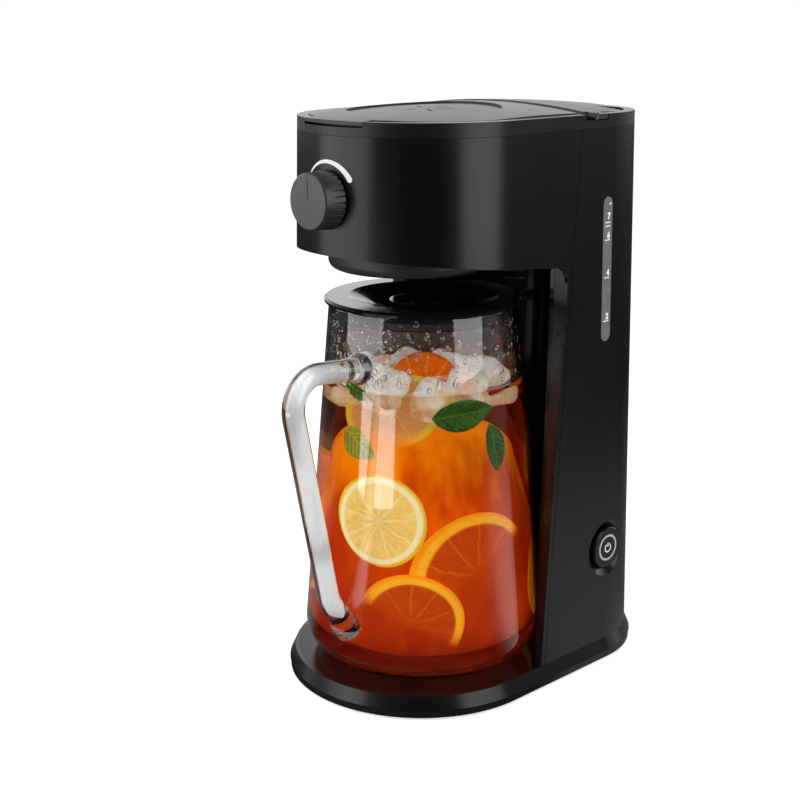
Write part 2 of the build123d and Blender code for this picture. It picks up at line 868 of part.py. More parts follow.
def make_valve_bridge():
    half = valve_head_radius + 3 * post_radius
    low = (-half, basket_y - bridge_width / 2, bridge_z())
    high = (half, basket_y + bridge_width / 2, bridge_z() + bridge_thickness)
    return block(low, high)


def make_filter_frame():
    reach = basket_radius - basket_skin - 2 * slide_gap
    rim_low = basket_top_z + fit_gap / 2
    frame = upright(0, basket_y, reach, filter_floor_z, rim_low + filter_skin)
    frame += upright(0, basket_y, basket_radius, rim_low, rim_low + filter_skin)
    frame -= upright(0, basket_y, reach - filter_skin, filter_floor_z + filter_skin, far)
    margin = filter_rib
    for i in range(filter_slots):
        slot = block(
            (reach / 2, -filter_slot_width / 2, filter_floor_z + margin),
            (2 * reach, filter_slot_width / 2, basket_top_z - margin),
        )
        frame -= Pos(0, basket_y, 0) * Rot(0, 0, 360 / filter_slots * i) * slot
    return frame


def make_filter_mesh():
    reach = basket_radius - basket_skin - 2 * slide_gap - filter_skin - fit_gap / 4
    low, high = filter_floor_z + filter_skin + fit_gap / 4, basket_top_z - flange_thickness
    mesh = upright(0, basket_y, reach, low, high)
    return mesh - upright(0, basket_y, reach - mesh_thickness, low + mesh_thickness, high + wall)


# ---------------------------------------------------------------- strength knob
def make_knob():
    back = front_y(knob_z) - knob_gap
    front = back - knob_length
    profile = [(0, front), (knob_radius, front), (knob_radius + knob_flare, back), (0, back)]
    face = make_face(Polyline(*[(r, y, 0) for r, y in profile], close=True))
    knob = revolve(face, Axis.Y)
    knob = chamfer(knob.edges().filter_by(GeomType.CIRCLE).sort_by(Axis.Y)[0], rib_depth)
    for i in range(knob_ribs):
        turn = radians(360 / knob_ribs * i)
        reach = knob_radius + knob_flare
        groove = along_y(reach * cos(turn), reach * sin(turn), rib_depth, front + 2 * rib_depth, back)
        knob -= groove
    hollow = knob_radius - knob_hollow_wall
    knob -= along_y(0, 0, hollow, front + knob_hollow_wall, back)
    knob += along_y(0, 0, 2 * shaft_radius, front + knob_hollow_wall, back - knob_hollow_wall)
    knob -= along_y(0, 0, shaft_radius + pin_fit / 2, front + 2 * knob_hollow_wall, back)
    return Pos(0, 0, knob_z) * knob


def make_knob_shaft():
    front = front_y(knob_z) - knob_gap - knob_length + 2 * knob_hollow_wall
    back = front_y(knob_z) + wall + valve_block_depth - fit_gap
    return along_y(0, knob_z, shaft_radius, front, back)


def make_flow_valve():
    back = front_y(knob_z) + wall + valve_block_depth
    body = block(
        (-valve_block_width / 2, front_y(knob_z), knob_z - valve_block_height / 2),
        (valve_block_width / 2, back, knob_z + valve_block_height / 2),
    )
    body &= housing_block(base_top, ring_seam_z, wall + fit_gap)
    return body - along_y(0, knob_z, shaft_radius + slide_gap, -far, back - fit_gap / 2)


# ---------------------------------------------------------------- power button
def make_bezel():
    ring = along_x(button_y, button_z, bezel_radius, 0, far)
    ring -= along_x(button_y, button_z, button_radius + button_bore_gap, 0, far)
    layer = housing_block(base_top, ring_seam_z)
    layer -= housing_block(base_top - wall, ring_seam_z + wall, bezel_depth)
    bore = button_radius + button_bore_gap
    dish = Cone(bore, dish_mouth_radius, button_dish_depth, align=on_end)
    mouth = upright(0, 0, dish_mouth_radius, button_dish_depth, far)
    cut = Pos(button_axis_x() - button_dish_depth, button_y, button_z) * Rot(0, 90, 0) * (dish + mouth)
    return (ring & layer) - cut


def make_button():
    front = button_axis_x() + button_proud
    cap = along_x(button_y, button_z, button_radius, front - button_length, front)
    cap = fillet(cap.edges().group_by(Axis.X)[-1], light_ring_depth)
    cap -= along_x(button_y, button_z, light_ring_radius, front - light_ring_depth, far)
    core = light_ring_radius - light_ring_width
    cap += along_x(button_y, button_z, core, front - 2 * light_ring_depth, front)
    plunger = along_x(button_y, button_z, plunger_radius, switch_face() - switch_dip, front - button_length)
    return cap + plunger


def switch_face():
    """The outer face of the switch body behind the button."""
    return button_axis_x() + button_proud - button_length - button_travel - switch_setback


def make_light_ring():
    front = button_axis_x() + button_proud
    ring = along_x(button_y, button_z, light_ring_radius, front - light_ring_depth, front)
    return ring - along_x(button_y, button_z, light_ring_radius - light_ring_width, 0, far)


def make_switch():
    high = switch_face()
    low = high - switch_depth
    half_y, half_z = switch_width / 2, switch_height / 2
    body = block((low, button_y - half_y, button_z - half_z), (high, button_y + half_y, button_z + half_z))
    for way in (-1, 1):
        y = button_y + way * blade_spacing / 2
        half = blade_width / 2
        body += block((low - blade_reach, y, button_z - half), (low, y + blade_thickness, button_z + half))
    plunger_end = high - switch_dip - button_travel - fit_gap
    return body - along_x(button_y, button_z, plunger_radius + slide_gap, plunger_end, far)


def make_switch_cradle():
    """A cup on the bezel's back whose floor holds the switch body."""
    high = switch_face()
    cup = along_x(button_y, button_z, cradle_radius, high - cradle_plate, far)
    cup -= along_x(button_y, button_z, cradle_radius - switch_margin, high, far)
    cup &= housing_block(base_top, ring_seam_z, bezel_depth + fit_gap / 2)
    half_y, half_z = switch_width / 2 + fit_gap, switch_height / 2 + fit_gap
    window = block((0, button_y - half_y, button_z - half_z), (high, button_y + half_y, button_z + half_z))
    return cup - window


# ---------------------------------------------------------------- water tank
def tank_zone(gap, low):
    """The tower's inside behind the column cover, without the bay for the riser hose."""
    zone = housing_block(low, tank_top_z, wall + gap) & behind(wall - border_width + gap)
    zone -= recess(wall + gap)
    return zone - block((-far, -far, 0), (riser_bay_x + gap, riser_bay_y + gap, far * 2))


def make_tank():
    tank = tank_zone(tank_gap, tank_floor_z) - tank_zone(tank_gap + tank_skin, tank_floor_z + tank_skin)
    outlet_x, outlet_y = inlet_place()
    tank += upright(outlet_x, outlet_y, stub_radius, tank_floor_z - stub_length, tank_floor_z)
    bore_low, bore_high = tank_floor_z - 2 * stub_length, tank_floor_z + 2 * tank_skin
    return tank - upright(outlet_x, outlet_y, stub_bore, bore_low, bore_high)


def make_tank_shelf():
    high = tank_floor_z - fit_gap
    low = high - shelf_thickness
    shelf = housing_block(low, high, wall + fit_gap) & behind(wall - border_width + fit_gap)
    shelf -= recess(wall + fit_gap)
    outlet_x, outlet_y = inlet_place()
    shelf -= upright(outlet_x, outlet_y, hose_radius + tank_gap, 0, far)
    return shelf - upright(riser_x, riser_y, hose_radius + tank_gap, 0, far)


# ---------------------------------------------------------------- heater and plumbing
def inlet_place():
    return heater_bend_radius, heater_y


def make_heater():
    """A cast aluminium U with a water tube and a heating rod inside, its two ends up."""
    r = heater_bend_radius
    bend_z = heater_bottom_z + r + heater_width / 2
    ring = Pos(0, heater_y, bend_z) * Rot(90, 0, 0) * (
        Cylinder(r + heater_width / 2, heater_depth) - Cylinder(r - heater_width / 2, heater_depth)
    )
    ring &= block((-far, -far, 0), (far, far, bend_z))
    u = ring
    half_x, half_y, leg_top = heater_width / 2, heater_depth / 2, bend_z + heater_leg
    for x in (-r, r):
        u += block((x - half_x, heater_y - half_y, bend_z), (x + half_x, heater_y + half_y, leg_top))
        u += upright(x, heater_y, stub_radius, leg_top, leg_top + stub_length)
        u -= upright(x, heater_y, stub_bore, bend_z, leg_top + 2 * stub_length)
    return u


def heater_top():
    return heater_bottom_z + heater_bend_radius + heater_width / 2 + heater_leg


def make_heater_bracket():
    low_y = heater_y + heater_depth / 2 + fit_gap / 2
    half = heater_bend_radius + heater_width / 2
    plate = block((-half, low_y, base_top), (half, low_y + bracket_thickness, heater_top() - heater_leg / 2))
    foot = block((-half, low_y, base_top), (half, low_y + bracket_foot, base_top + bracket_thickness))
    return plate + foot


def make_thermostat():
    back = heater_y - heater_depth / 2 - fit_gap / 2
    z = heater_bottom_z + heater_width / 2
    body = along_y(0, z, thermostat_radius, back - thermostat_height, back)
    ear_low = (-thermostat_radius - thermostat_ear, back - thermostat_ear_thickness, z - thermostat_ear)
    ear_high = (thermostat_radius + thermostat_ear, back, z + thermostat_ear)
    return body + block(ear_low, ear_high)


def make_thermal_fuse():
    x = heater_bend_radius
    y = heater_y - heater_depth / 2 - fuse_radius - fit_gap / 2
    low = heater_top() - heater_leg + fuse_rise
    return upright(-x, y, fuse_radius, low, low + fuse_length)


def make_check_valve():
    x, y = inlet_place()
    middle = (heater_top() + stub_length + tank_floor_z - stub_length) / 2
    low = middle - check_valve_length / 2
    valve = upright(x, y, check_valve_radius, low, low + check_valve_length)
    return valve - upright(x, y, stub_bore, 0, far)


def make_cold_hose():
    """Two straight lengths, from the tank to the check valve and on to the heater."""
    x, y = inlet_place()
    middle = (heater_top() + tank_floor_z) / 2
    low_piece = upright(x, y, hose_radius, heater_top() + fit_gap / 2, middle - check_valve_length / 2)
    high_piece = upright(x, y, hose_radius, middle + check_valve_length / 2, tank_floor_z - fit_gap / 2)
    room = upright(x, y, stub_radius, 0, heater_top() + stub_length)
    room += upright(x, y, stub_radius, tank_floor_z - stub_length, far)
    room += upright(x, y, stub_bore, 0, far)
    return Compound([low_piece - room, high_piece - room])


def riser_corner():
    return Vector(riser_x, riser_y, spout_corner_z)


def spout_corner():
    return Vector(0, spout_corner_y, spout_corner_z)


def make_spout_form(bore=0.0):
    """The hard elbow over the spray tray, as a bar or as a tube with a bore."""
    run = (riser_corner() - spout_corner()).normalized()
    start = spout_corner() + run * (spout_run + spout_insert)
    tip = Vector(0, spout_tip_y, spout_tip_z)
    return tube([start, spout_corner(), tip], spout_radius, spout_bend, bore)


def make_riser():
    x, y = -heater_bend_radius, heater_y
    low = heater_top() + fit_gap / 2
    turn_z = low + stub_length + riser_turn_rise
    run = (riser_corner() - spout_corner()).normalized()
    points = [
        Vector(x, y, low),
        Vector(x, y, turn_z),
        Vector(riser_x, riser_y, turn_z + riser_slant_rise),
        riser_corner(),
        spout_corner() + run * spout_run,
    ]
    hose = tube(points, hose_radius, hose_bend, stub_bore)
    return hose - upright(x, y, stub_radius, 0, heater_top() + stub_length) - make_spout_form()


def make_spout():
    return make_spout_form(spout_bore)


def make_hose_clamps():
    x, y = inlet_place()
    spots = [
        (x, y, heater_top() + stub_length / 2),
        (x, y, tank_floor_z - stub_length),
        (-x, y, heater_top() + stub_length / 2),
    ]
    clamps = []
    for cx, cy, cz in spots:
        ring = upright(cx, cy, clamp_radius, cz - clamp_length / 2, cz + clamp_length / 2)
        clamps.append(ring - upright(cx, cy, hose_radius + pin_fit, 0, far))
    return Compound(clamps)


def make_terminal_block():
    half = terminal_length / 2
    back = terminal_y + terminal_depth
    return block((-half, terminal_y, base_top), (half, back, base_top + terminal_height))


def make_cord_gland():
    outer = rear_y(gland_z - gland_flange_radius) + fit_gap / 2
    sleeve = along_y(gland_x, gland_z, gland_radius, outer - wall - gland_reach, outer + gland_collar)
    flange = along_y(gland_x, gland_z, gland_flange_radius, outer, outer + gland_collar)
    return sleeve + flange - along_y(gland_x, gland_z, gland_bore, 0, far)


# ---------------------------------------------------------------- jug
def jug_radius(z):
    """Outer radius of the jug's straight wall at height z."""
    return jug_rim_radius + (jug_rim_z - z) * tan(radians(jug_flare))


def jug_form(inward, floor_z, rounding, top):
    """The jug's form drawn in by inward: a flared wall with a rounded foot."""
    low, high = jug_radius(floor_z) - inward, jug_radius(top) - inward
    face = make_face(Polyline((0, 0, floor_z), (low, 0, floor_z), (high, 0, top), (0, 0, top), close=True))
    corner = face.vertices().sort_by_distance((low, 0, floor_z))[0]
    face = fillet(corner, rounding)
    return Pos(0, jug_y, 0) * revolve(face, Axis.Z)


def spout_form(inward):
    """A cone that pushes the rim out into a pouring lip, opposite the handle."""
    reach = jug_rim_radius + spout_reach - spout_top_radius
    turn = radians(handle_turn)
    place = Pos(-reach * sin(turn), jug_y + reach * cos(turn), jug_rim_z - spout_depth)
    return place * Cone(spout_tip_radius - inward, spout_top_radius - inward, spout_depth, align=on_end)


def make_jug():
    outer = jug_form(0, jug_bottom, jug_foot_rounding, jug_rim_z) + spout_form(0)
    inner = jug_form(jug_wall, jug_bottom + jug_floor, jug_foot_rounding - jug_wall, jug_rim_z)
    return outer - inner - spout_form(spout_skin)


def handle_plane():
    turn = radians(handle_turn)
    radial = (sin(turn), -cos(turn), 0)
    return Plane(origin=(0, jug_y, 0), x_dir=radial, z_dir=(-cos(turn), -sin(turn), 0))


def make_handle():
    root = jug_rim_radius - jug_wall / 2
    points = [
        (root, handle_top_z - handle_top_rise),
        (handle_reach, handle_top_z),
        (handle_foot_reach, handle_foot_z),
        (handle_foot_reach - handle_foot_bend, handle_foot_z - handle_foot_drop),
    ]
    frame = handle_plane()
    world = [frame.from_local_coords((r, z, 0)) for r, z in points]
    handle = tube(world, handle_radius, [handle_top_bend, handle_foot_bend])
    for r, z in (points[0], points[-1]):
        centre = frame.from_local_coords((jug_radius(z), z + handle_radius / 4, 0))
        handle += Pos(*centre) * Sphere(handle_boss_radius)
    handle -= jug_form(0, jug_bottom, jug_foot_rounding, jug_rim_z)
    return handle


def lid_level():
    """Underside of the lid's rim."""
    return jug_rim_z + jug_lid_rise


def make_jug_lid():
    low = lid_level()
    high = low + jug_lid_rim_height
    plug = jug_radius(low) - jug_wall - lid_seal_proud - lid_plug_gap
    dish_low = high - dish_depth
    ring_in = drip_ring_radius - drip_ring_wall
    profile = [
        (0, dish_low - lid_skin),
        (drip_ring_radius, dish_low - lid_skin),
        (plug - lid_skin, low - lid_skin),
        (plug - lid_skin, low - lid_plug_depth),
        (plug, low - lid_plug_depth),
        (plug, low),
        (jug_lid_radius, low),
        (jug_lid_radius, high - jug_lid_rim_height / 2),
        (jug_lid_radius - jug_lid_rim_height / 2, high),
        (dish_radius, high),
        (drip_ring_radius, dish_low),
        (drip_ring_radius, dish_low + drip_ring_height),
        (ring_in, dish_low + drip_ring_height),
        (ring_in, dish_low),
        (0, dish_low),
    ]
    lid = turned(profile, 0, jug_y)
    place = Pos(0, jug_y, 0) * Rot(0, 0, lid_tab_turn)
    reach = lid_tab_reach - lid_tab_width / 2
    tab = upright(reach, 0, lid_tab_width / 2, low, high)
    lid += place * (tab - upright(0, 0, jug_lid_radius - lid_skin, 0, far))
    slot = SlotOverall(tab_recess_length, tab_recess_width, rotation=90)
    lid -= place * Pos(jug_lid_radius, 0, high - tab_recess_depth) * extrude(slot, wall)
    for i in range(drip_hole_count):
        a = radians(360 / drip_hole_count * i)
        x, y = drip_hole_circle * cos(a), jug_y + drip_hole_circle * sin(a)
        lid -= upright(x, y, drip_hole_radius, dish_low - 2 * lid_skin, dish_low + lid_skin)
    return lid


def make_lid_seal():
    low = lid_level()
    plug = jug_radius(low) - jug_wall - lid_seal_proud - lid_plug_gap
    high_z = low - lid_plug_depth + lid_seal_height + lid_plug_gap
    seal = upright(0, jug_y, plug + lid_seal_proud, high_z - lid_seal_height, high_z)
    return seal - upright(0, jug_y, plug + pin_fit / 2, 0, far)


def make_deck_plate():
    return deck_area(base_top - deck_thickness, base_top, 0)


# ---------------------------------------------------------------- writing
nodes = {
    "base_shell": make_base_shell,
    "base_pan": make_base_pan,
    "rubber_feet": make_feet,
    "base_screws": make_base_screws,
    "deck_plate": make_deck_plate,
    "front_housing": make_front_housing,
    "column_cover": make_column_cover,
    "rear_housing": make_rear_housing,
    "level_window": make_level_window,
    "top_ring": make_top_ring,
    "brew_hinge_pins": make_brew_pins,
    "tank_hinge_pins": make_tank_pins,
    "brew_lid": make_brew_lid,
    "spray_tray": make_spray_tray,
    "tank_lid": make_tank_lid,
    "brew_chamber": make_brew_chamber,
    "brew_basket": make_basket,
    "drip_valve_seal": make_valve_seal,
    "drip_valve": make_drip_valve,
    "drip_valve_spring": make_valve_spring,
    "spring_bridge": make_valve_bridge,
    "filter_frame": make_filter_frame,
    "filter_mesh": make_filter_mesh,
    "strength_knob": make_knob,
    "knob_shaft": make_knob_shaft,
    "flow_valve": make_flow_valve,
    "button_bezel": make_bezel,
    "power_button": make_button,
    "light_ring": make_light_ring,
    "power_switch": make_switch,
    "switch_cradle": make_switch_cradle,
    "water_tank": make_tank,
    "tank_shelf": make_tank_shelf,
    "heater": make_heater,
    "heater_bracket": make_heater_bracket,
    "thermostat": make_thermostat,
    "thermal_fuse": make_thermal_fuse,
    "check_valve": make_check_valve,
    "cold_water_hose": make_cold_hose,
    "hot_water_riser": make_riser,
    "hot_water_spout": make_spout,
    "hose_clamps": make_hose_clamps,
    "terminal_block": make_terminal_block,
    "cord_gland": make_cord_gland,
    "glass_jug": make_jug,
    "jug_handle": make_handle,
    "jug_lid": make_jug_lid,
    "lid_seal": make_lid_seal,
}

shapes = {name: make() for name, make in nodes.items()}
reach = Compound([Compound(shape.solids()) for shape in shapes.values()]).bounding_box()
frame_shift = -(reach.min.Y + reach.max.Y) / 2
print("origin lies", round(-frame_shift, 4), "mm from the base's middle along Y")
os.makedirs("parts", exist_ok=True)
for name, shape in shapes.items():
    solids = [Pos(0, frame_shift, 0) * solid for solid in shape.solids()]
    export_step(solids[0] if len(solids) == 1 else Compound(solids), f"parts/{name}.step")
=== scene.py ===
from math import acos, ceil, cos, exp, hypot, pi, radians, sin, sqrt, tan
from random import Random

import bmesh
import bpy
from mathutils import Matrix, Vector, noise

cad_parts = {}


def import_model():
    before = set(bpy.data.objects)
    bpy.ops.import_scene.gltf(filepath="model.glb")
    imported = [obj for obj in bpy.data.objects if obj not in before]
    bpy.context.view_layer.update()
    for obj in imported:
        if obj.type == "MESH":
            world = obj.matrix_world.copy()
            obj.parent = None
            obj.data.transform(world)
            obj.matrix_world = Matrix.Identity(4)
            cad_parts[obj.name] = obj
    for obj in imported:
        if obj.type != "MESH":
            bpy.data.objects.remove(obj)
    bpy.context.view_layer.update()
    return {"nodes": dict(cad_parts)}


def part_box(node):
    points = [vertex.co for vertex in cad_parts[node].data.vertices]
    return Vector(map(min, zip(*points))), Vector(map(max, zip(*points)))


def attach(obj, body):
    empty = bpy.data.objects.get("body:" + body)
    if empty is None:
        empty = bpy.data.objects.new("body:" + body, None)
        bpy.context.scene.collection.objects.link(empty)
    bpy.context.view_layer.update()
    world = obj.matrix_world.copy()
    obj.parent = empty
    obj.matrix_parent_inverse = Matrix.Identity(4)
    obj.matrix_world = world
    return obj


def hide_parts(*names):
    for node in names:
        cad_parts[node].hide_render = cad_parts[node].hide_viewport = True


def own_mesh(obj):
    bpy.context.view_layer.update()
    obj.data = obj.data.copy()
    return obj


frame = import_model()
scene = bpy.context.scene
MM = 0.001

# Shapes are in millimetres, about the middle of the base, as in the part's source. Materials, the
# camera and the lamps are in metres. These shapes are moved along Y onto the imported model, by as
# much as the seal of the jug's lid shows.
JUG_Y = -35.0
low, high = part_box("lid_seal")
SHIFT = (low.y + high.y) / 2 / MM - JUG_Y


def world(x, y, z):
    """A place about the middle of the base, in the frame's metres."""
    return Vector((x * MM, (y + SHIFT) * MM, z * MM))


# ---------------------------------------------------------------- camera
TARGET = Vector((0, -0.0367045, 0.1917))
AZIMUTH, ELEVATION, DISTANCE = radians(46.52), radians(15.38), 0.92616
LENS, SENSOR = 63.63, 36
back = Vector((sin(AZIMUTH) * cos(ELEVATION), -cos(AZIMUTH) * cos(ELEVATION), sin(ELEVATION)))
camera = bpy.data.objects.new("camera", bpy.data.cameras.new("camera"))
camera.data.lens, camera.data.sensor_width = LENS, SENSOR
camera.data.clip_start, camera.data.clip_end = 0.05, 50
camera.location = TARGET + back * DISTANCE
camera.rotation_euler = (-back).to_track_quat("-Z", "Y").to_euler()
scene.collection.objects.link(camera)
scene.camera = camera
scene.view_settings.view_transform = "Standard"

# ---------------------------------------------------------------- node helpers
# Noise mostly lies between these two, and its middle is MID.
NOISE, MID = (0.3, 0.7), 0.5


def fill(tree, node, inputs):
    """Sets inputs of a node, or links those that another node gives."""
    for key, value in inputs.items():
        if isinstance(value, bpy.types.NodeSocket):
            tree.links.new(value, node.inputs[key])
        else:
            node.inputs[key].default_value = value


def add(tree, kind, inputs=None, **settings):
    """A shader node with its settings and inputs."""
    made = tree.nodes.new("ShaderNode" + kind)
    for key, value in settings.items():
        setattr(made, key, value)
    fill(tree, made, inputs or {})
    return made


def calc(tree, operation, *values):
    """The result of a sum on values or other results."""
    return add(tree, "Math", dict(enumerate(values)), operation=operation).outputs[0]


def plus(tree, a, b):
    return calc(tree, "ADD", a, b)


def minus(tree, a, b):
    return calc(tree, "SUBTRACT", a, b)


def times(tree, a, b):
    return calc(tree, "MULTIPLY", a, b)


def reach_of(tree, x, y):
    """How far (x, y) is from the middle."""
    return calc(tree, "SQRT", plus(tree, times(tree, x, x), times(tree, y, y)))


def span(tree, value, a, b, c, d, smooth=False):
    """Maps value from a..b to c..d, clamped."""
    kind = "SMOOTHSTEP" if smooth else "LINEAR"
    inputs = dict(enumerate((value, a, b, c, d)))
    return add(tree, "MapRange", inputs, interpolation_type=kind).outputs[0]


def mix(tree, factor, a, b):
    """A colour between a and b."""
    a, b = [v if isinstance(v, bpy.types.NodeSocket) else (*v, 1) for v in (a, b)]
    return add(tree, "Mix", {0: factor, 6: a, 7: b}, data_type="RGBA").outputs[2]


def ramp(tree, value, stops):
    """A colour from stops of (place, colour)."""
    made = add(tree, "ValToRGB", {"Fac": value})
    points = made.color_ramp.elements
    while len(points) < len(stops):
        points.new(1)
    for point, (place, colour) in zip(points, stops):
        point.position, point.color = place, (*colour, 1)
    return made.outputs[0]


def patch(tree, coords, scale, detail=2.0, rough=0.5):
    """Soft noise."""
    inputs = {"Vector": coords, "Scale": scale, "Detail": detail, "Roughness": rough}
    return add(tree, "TexNoise", inputs).outputs[0]


def cellular(tree, coords, scale, **settings):
    """Distances in a pattern of cells."""
    return add(tree, "TexVoronoi", {"Vector": coords, "Scale": scale}, **settings).outputs[0]


def drawn_out(tree, coords, scale):
    """Coordinates with a scale for each axis. A low one draws a pattern out along it."""
    return add(tree, "Mapping", {"Vector": coords, "Scale": scale}).outputs[0]


def bump(tree, shader, height, distance, strength=1.0):
    """Relief by a height, where distance is its depth in metres."""
    made = add(tree, "Bump", {"Height": height, "Distance": distance, "Strength": strength})
    fill(tree, shader, {"Normal": made.outputs[0]})


def scaled(tree, colour, factor):
    """A colour made brighter or darker by a factor."""
    made = add(tree, "VectorMath", {0: colour}, operation="SCALE")
    fill(tree, made, {"Scale": factor})
    return made.outputs[0]


def blend(tree, factor, a, b):
    """A shader between a and b."""
    return add(tree, "MixShader", {0: factor, 1: a, 2: b}).outputs[0]


def show(tree, surface):
    """Gives a shader to the material's surface."""
    fill(tree, tree.nodes["Material Output"], {"Surface": surface})


def thin_out(tree, shader, shown):
    """Shows a shader by as much as shown says, and what is behind it for the rest."""
    show(tree, blend(tree, shown, add(tree, "BsdfTransparent").outputs[0], shader.outputs[0]))


def start(name):
    """A new material, with its tree, its Principled shader and its object coordinates."""
    made = bpy.data.materials.new(name)
    made.use_nodes = True
    tree = made.node_tree
    coords = add(tree, "TexCoord").outputs["Object"]
    return made, tree, tree.nodes["Principled BSDF"], coords


def toned(colour, factor):
    return [c * factor for c in colour]


# ---------------------------------------------------------------- kinds of finish
def moulded(name, colour, rough, grain=4200.0, depth=1.5e-6, drift=0.05, tone=0.08, specular=0.5):
    """Moulded plastic: a fine sparked grain, with slow drifts of gloss and tone."""
    made, tree, shader, coords = start(name)
    slow = patch(tree, coords, 14.0, 3.0)
    fine = patch(tree, coords, grain, 2.0, 0.6)
    speck = span(tree, patch(tree, coords, grain * 0.37), *NOISE, -1.0, 1.0)
    shade = plus(tree, times(tree, slow, 0.6), times(tree, fine, 0.4))
    shade = span(tree, shade, *NOISE, 0, 1)
    gloss = span(tree, slow, *NOISE, rough - drift, rough + drift)
    fill(tree, shader, {
        "Base Color": mix(tree, shade, toned(colour, 1 - tone), toned(colour, 1 + tone)),
        "Roughness": plus(tree, gloss, times(tree, speck, drift / 2)),
        "Specular IOR Level": specular})
    bump(tree, shader, fine, depth)
    return made


def sparked(name, colour, rough, grain=2300.0, depth=2.2e-5):
    """Plastic with a coarser sparked texture, as on the lids."""
    made, tree, shader, coords = start(name)
    cells = cellular(tree, coords, grain, feature="SMOOTH_F1")
    fine = patch(tree, coords, grain * 1.6, 2.0)
    slow = patch(tree, coords, 11.0, 3.0)
    height = plus(tree, times(tree, cells, 0.7), times(tree, fine, 0.5))
    shade = span(tree, height, 0.3, 0.8, 0, 1)
    fill(tree, shader, {
        "Base Color": mix(tree, shade, toned(colour, 1.25), toned(colour, 0.75)),
        "Roughness": span(tree, slow, *NOISE, rough - 0.05, rough + 0.06)})
    bump(tree, shader, height, depth)
    return made


def polished(name, colour, rough, specular):
    """Polished plastic: nearly a mirror, with a moulded face's faint waves and fine wipe marks."""
    made, tree, shader, coords = start(name)
    waves = patch(tree, coords, 38.0, 1.0)
    wipes = patch(tree, drawn_out(tree, coords, (900, 900, 60)), 1.0, 2.0)
    fill(tree, shader, {
        "Base Color": mix(tree, waves, toned(colour, 0.8), toned(colour, 1.3)),
        "Roughness": span(tree, wipes, 0.45, 0.75, rough, rough * 2.2),
        "Specular IOR Level": specular})
    bump(tree, shader, waves, 6e-5, 0.4)
    return made


def metal(name, colour, rough, stretch=(1, 1, 1), grain=1500.0, depth=3e-6):
    """Bare metal, with fine marks that a stretch draws out into brushed lines."""
    made, tree, shader, coords = start(name)
    lines = patch(tree, drawn_out(tree, coords, stretch), grain, 3.0)
    slow = patch(tree, coords, 40.0, 3.0)
    fill(tree, shader, {
        "Base Color": mix(tree, slow, toned(colour, 0.82), colour),
        "Roughness": span(tree, lines, *NOISE, rough * 0.75, rough * 1.3),
        "Metallic": 1})
    bump(tree, shader, lines, depth)
    return made


def clear(name, colour, ior, shade, rough=0.0, waves=0.0, wave_scale=60.0, depth=None):
    """Clear glass, water or ice. Lamps light what is inside, in the colour of shade. Depth is a
    (tint, density) that colours it by its thickness."""
    made, tree, shader, coords = start(name)
    fill(tree, shader, {
        "Base Color": (*colour, 1), "Roughness": rough, "IOR": ior, "Transmission Weight": 1})
    if waves:
        bump(tree, shader, patch(tree, coords, wave_scale, 2.0), waves)
    through = add(tree, "BsdfTransparent", {"Color": (*shade, 1)}).outputs[0]
    lamp_ray = add(tree, "LightPath").outputs["Is Shadow Ray"]
    show(tree, blend(tree, lamp_ray, shader.outputs[0], through))
    if depth:
        tint, density = depth
        thick = add(tree, "VolumeAbsorption", {"Color": (*tint, 1), "Density": density})
        fill(tree, tree.nodes["Material Output"], {"Volume": thick.outputs[0]})
    return made


def make_mesh_steel():
    """Woven steel wire, as waves round the filter's axis crossed with waves up it, darker where the
    weave is low as painted shade.
    """
    made, tree, shader, coords = start("woven_steel")
    filter_y = (-47.5 + SHIFT) * MM
    round_about, upwards = 420.0, 9000.0
    x, y, z = add(tree, "SeparateXYZ", {"Vector": coords}).outputs
    turn = calc(tree, "ARCTAN2", minus(tree, y, filter_y), x)
    along = calc(tree, "SINE", times(tree, turn, round_about))
    up = calc(tree, "SINE", times(tree, z, upwards))
    weave = times(tree, along, up)
    wire = span(tree, weave, -0.6, 0.6, 0, 1)
    # The low parts of the weave are darker: painted shade.
    fill(tree, shader, {
        "Base Color": mix(tree, wire, (0.16, 0.16, 0.16), (0.62, 0.62, 0.62)),
        "Roughness": span(tree, weave, -1, 1, 0.5, 0.28),
        "Metallic": 1})
    bump(tree, shader, weave, 8e-5)
    return made


def make_window_look():
    """The smoked strip over the water tank: grey and a little clear, with a faint moulded grain."""
    made, tree, shader, coords = start("window_smoke")
    cloud = patch(tree, coords, 90.0, 3.0)
    fill(tree, shader, {
        "Base Color": mix(tree, cloud, (0.15, 0.154, 0.16), (0.21, 0.215, 0.22)),
        "Roughness": span(tree, cloud, *NOISE, 0.22, 0.30),
        "Transmission Weight": 0.15})
    bump(tree, shader, patch(tree, coords, 2600.0), 4e-6)
    return made


def make_print(name, colour, glow=0.0):
    """Printed or lit marks: slightly uneven ink. A glow makes them emit, which on print is painted
    light.
    """
    made, tree, shader, coords = start(name)
    ink = patch(tree, coords, 900.0, 3.0)
    fill(tree, shader, {
        "Base Color": mix(tree, ink, toned(colour, 0.93), colour),
        "Roughness": span(tree, ink, *NOISE, 0.4, 0.5)})
    if glow:
        fill(tree, shader, {"Emission Color": (*colour, 1), "Emission Strength": glow})
    bump(tree, shader, ink, 4e-6)
    return made


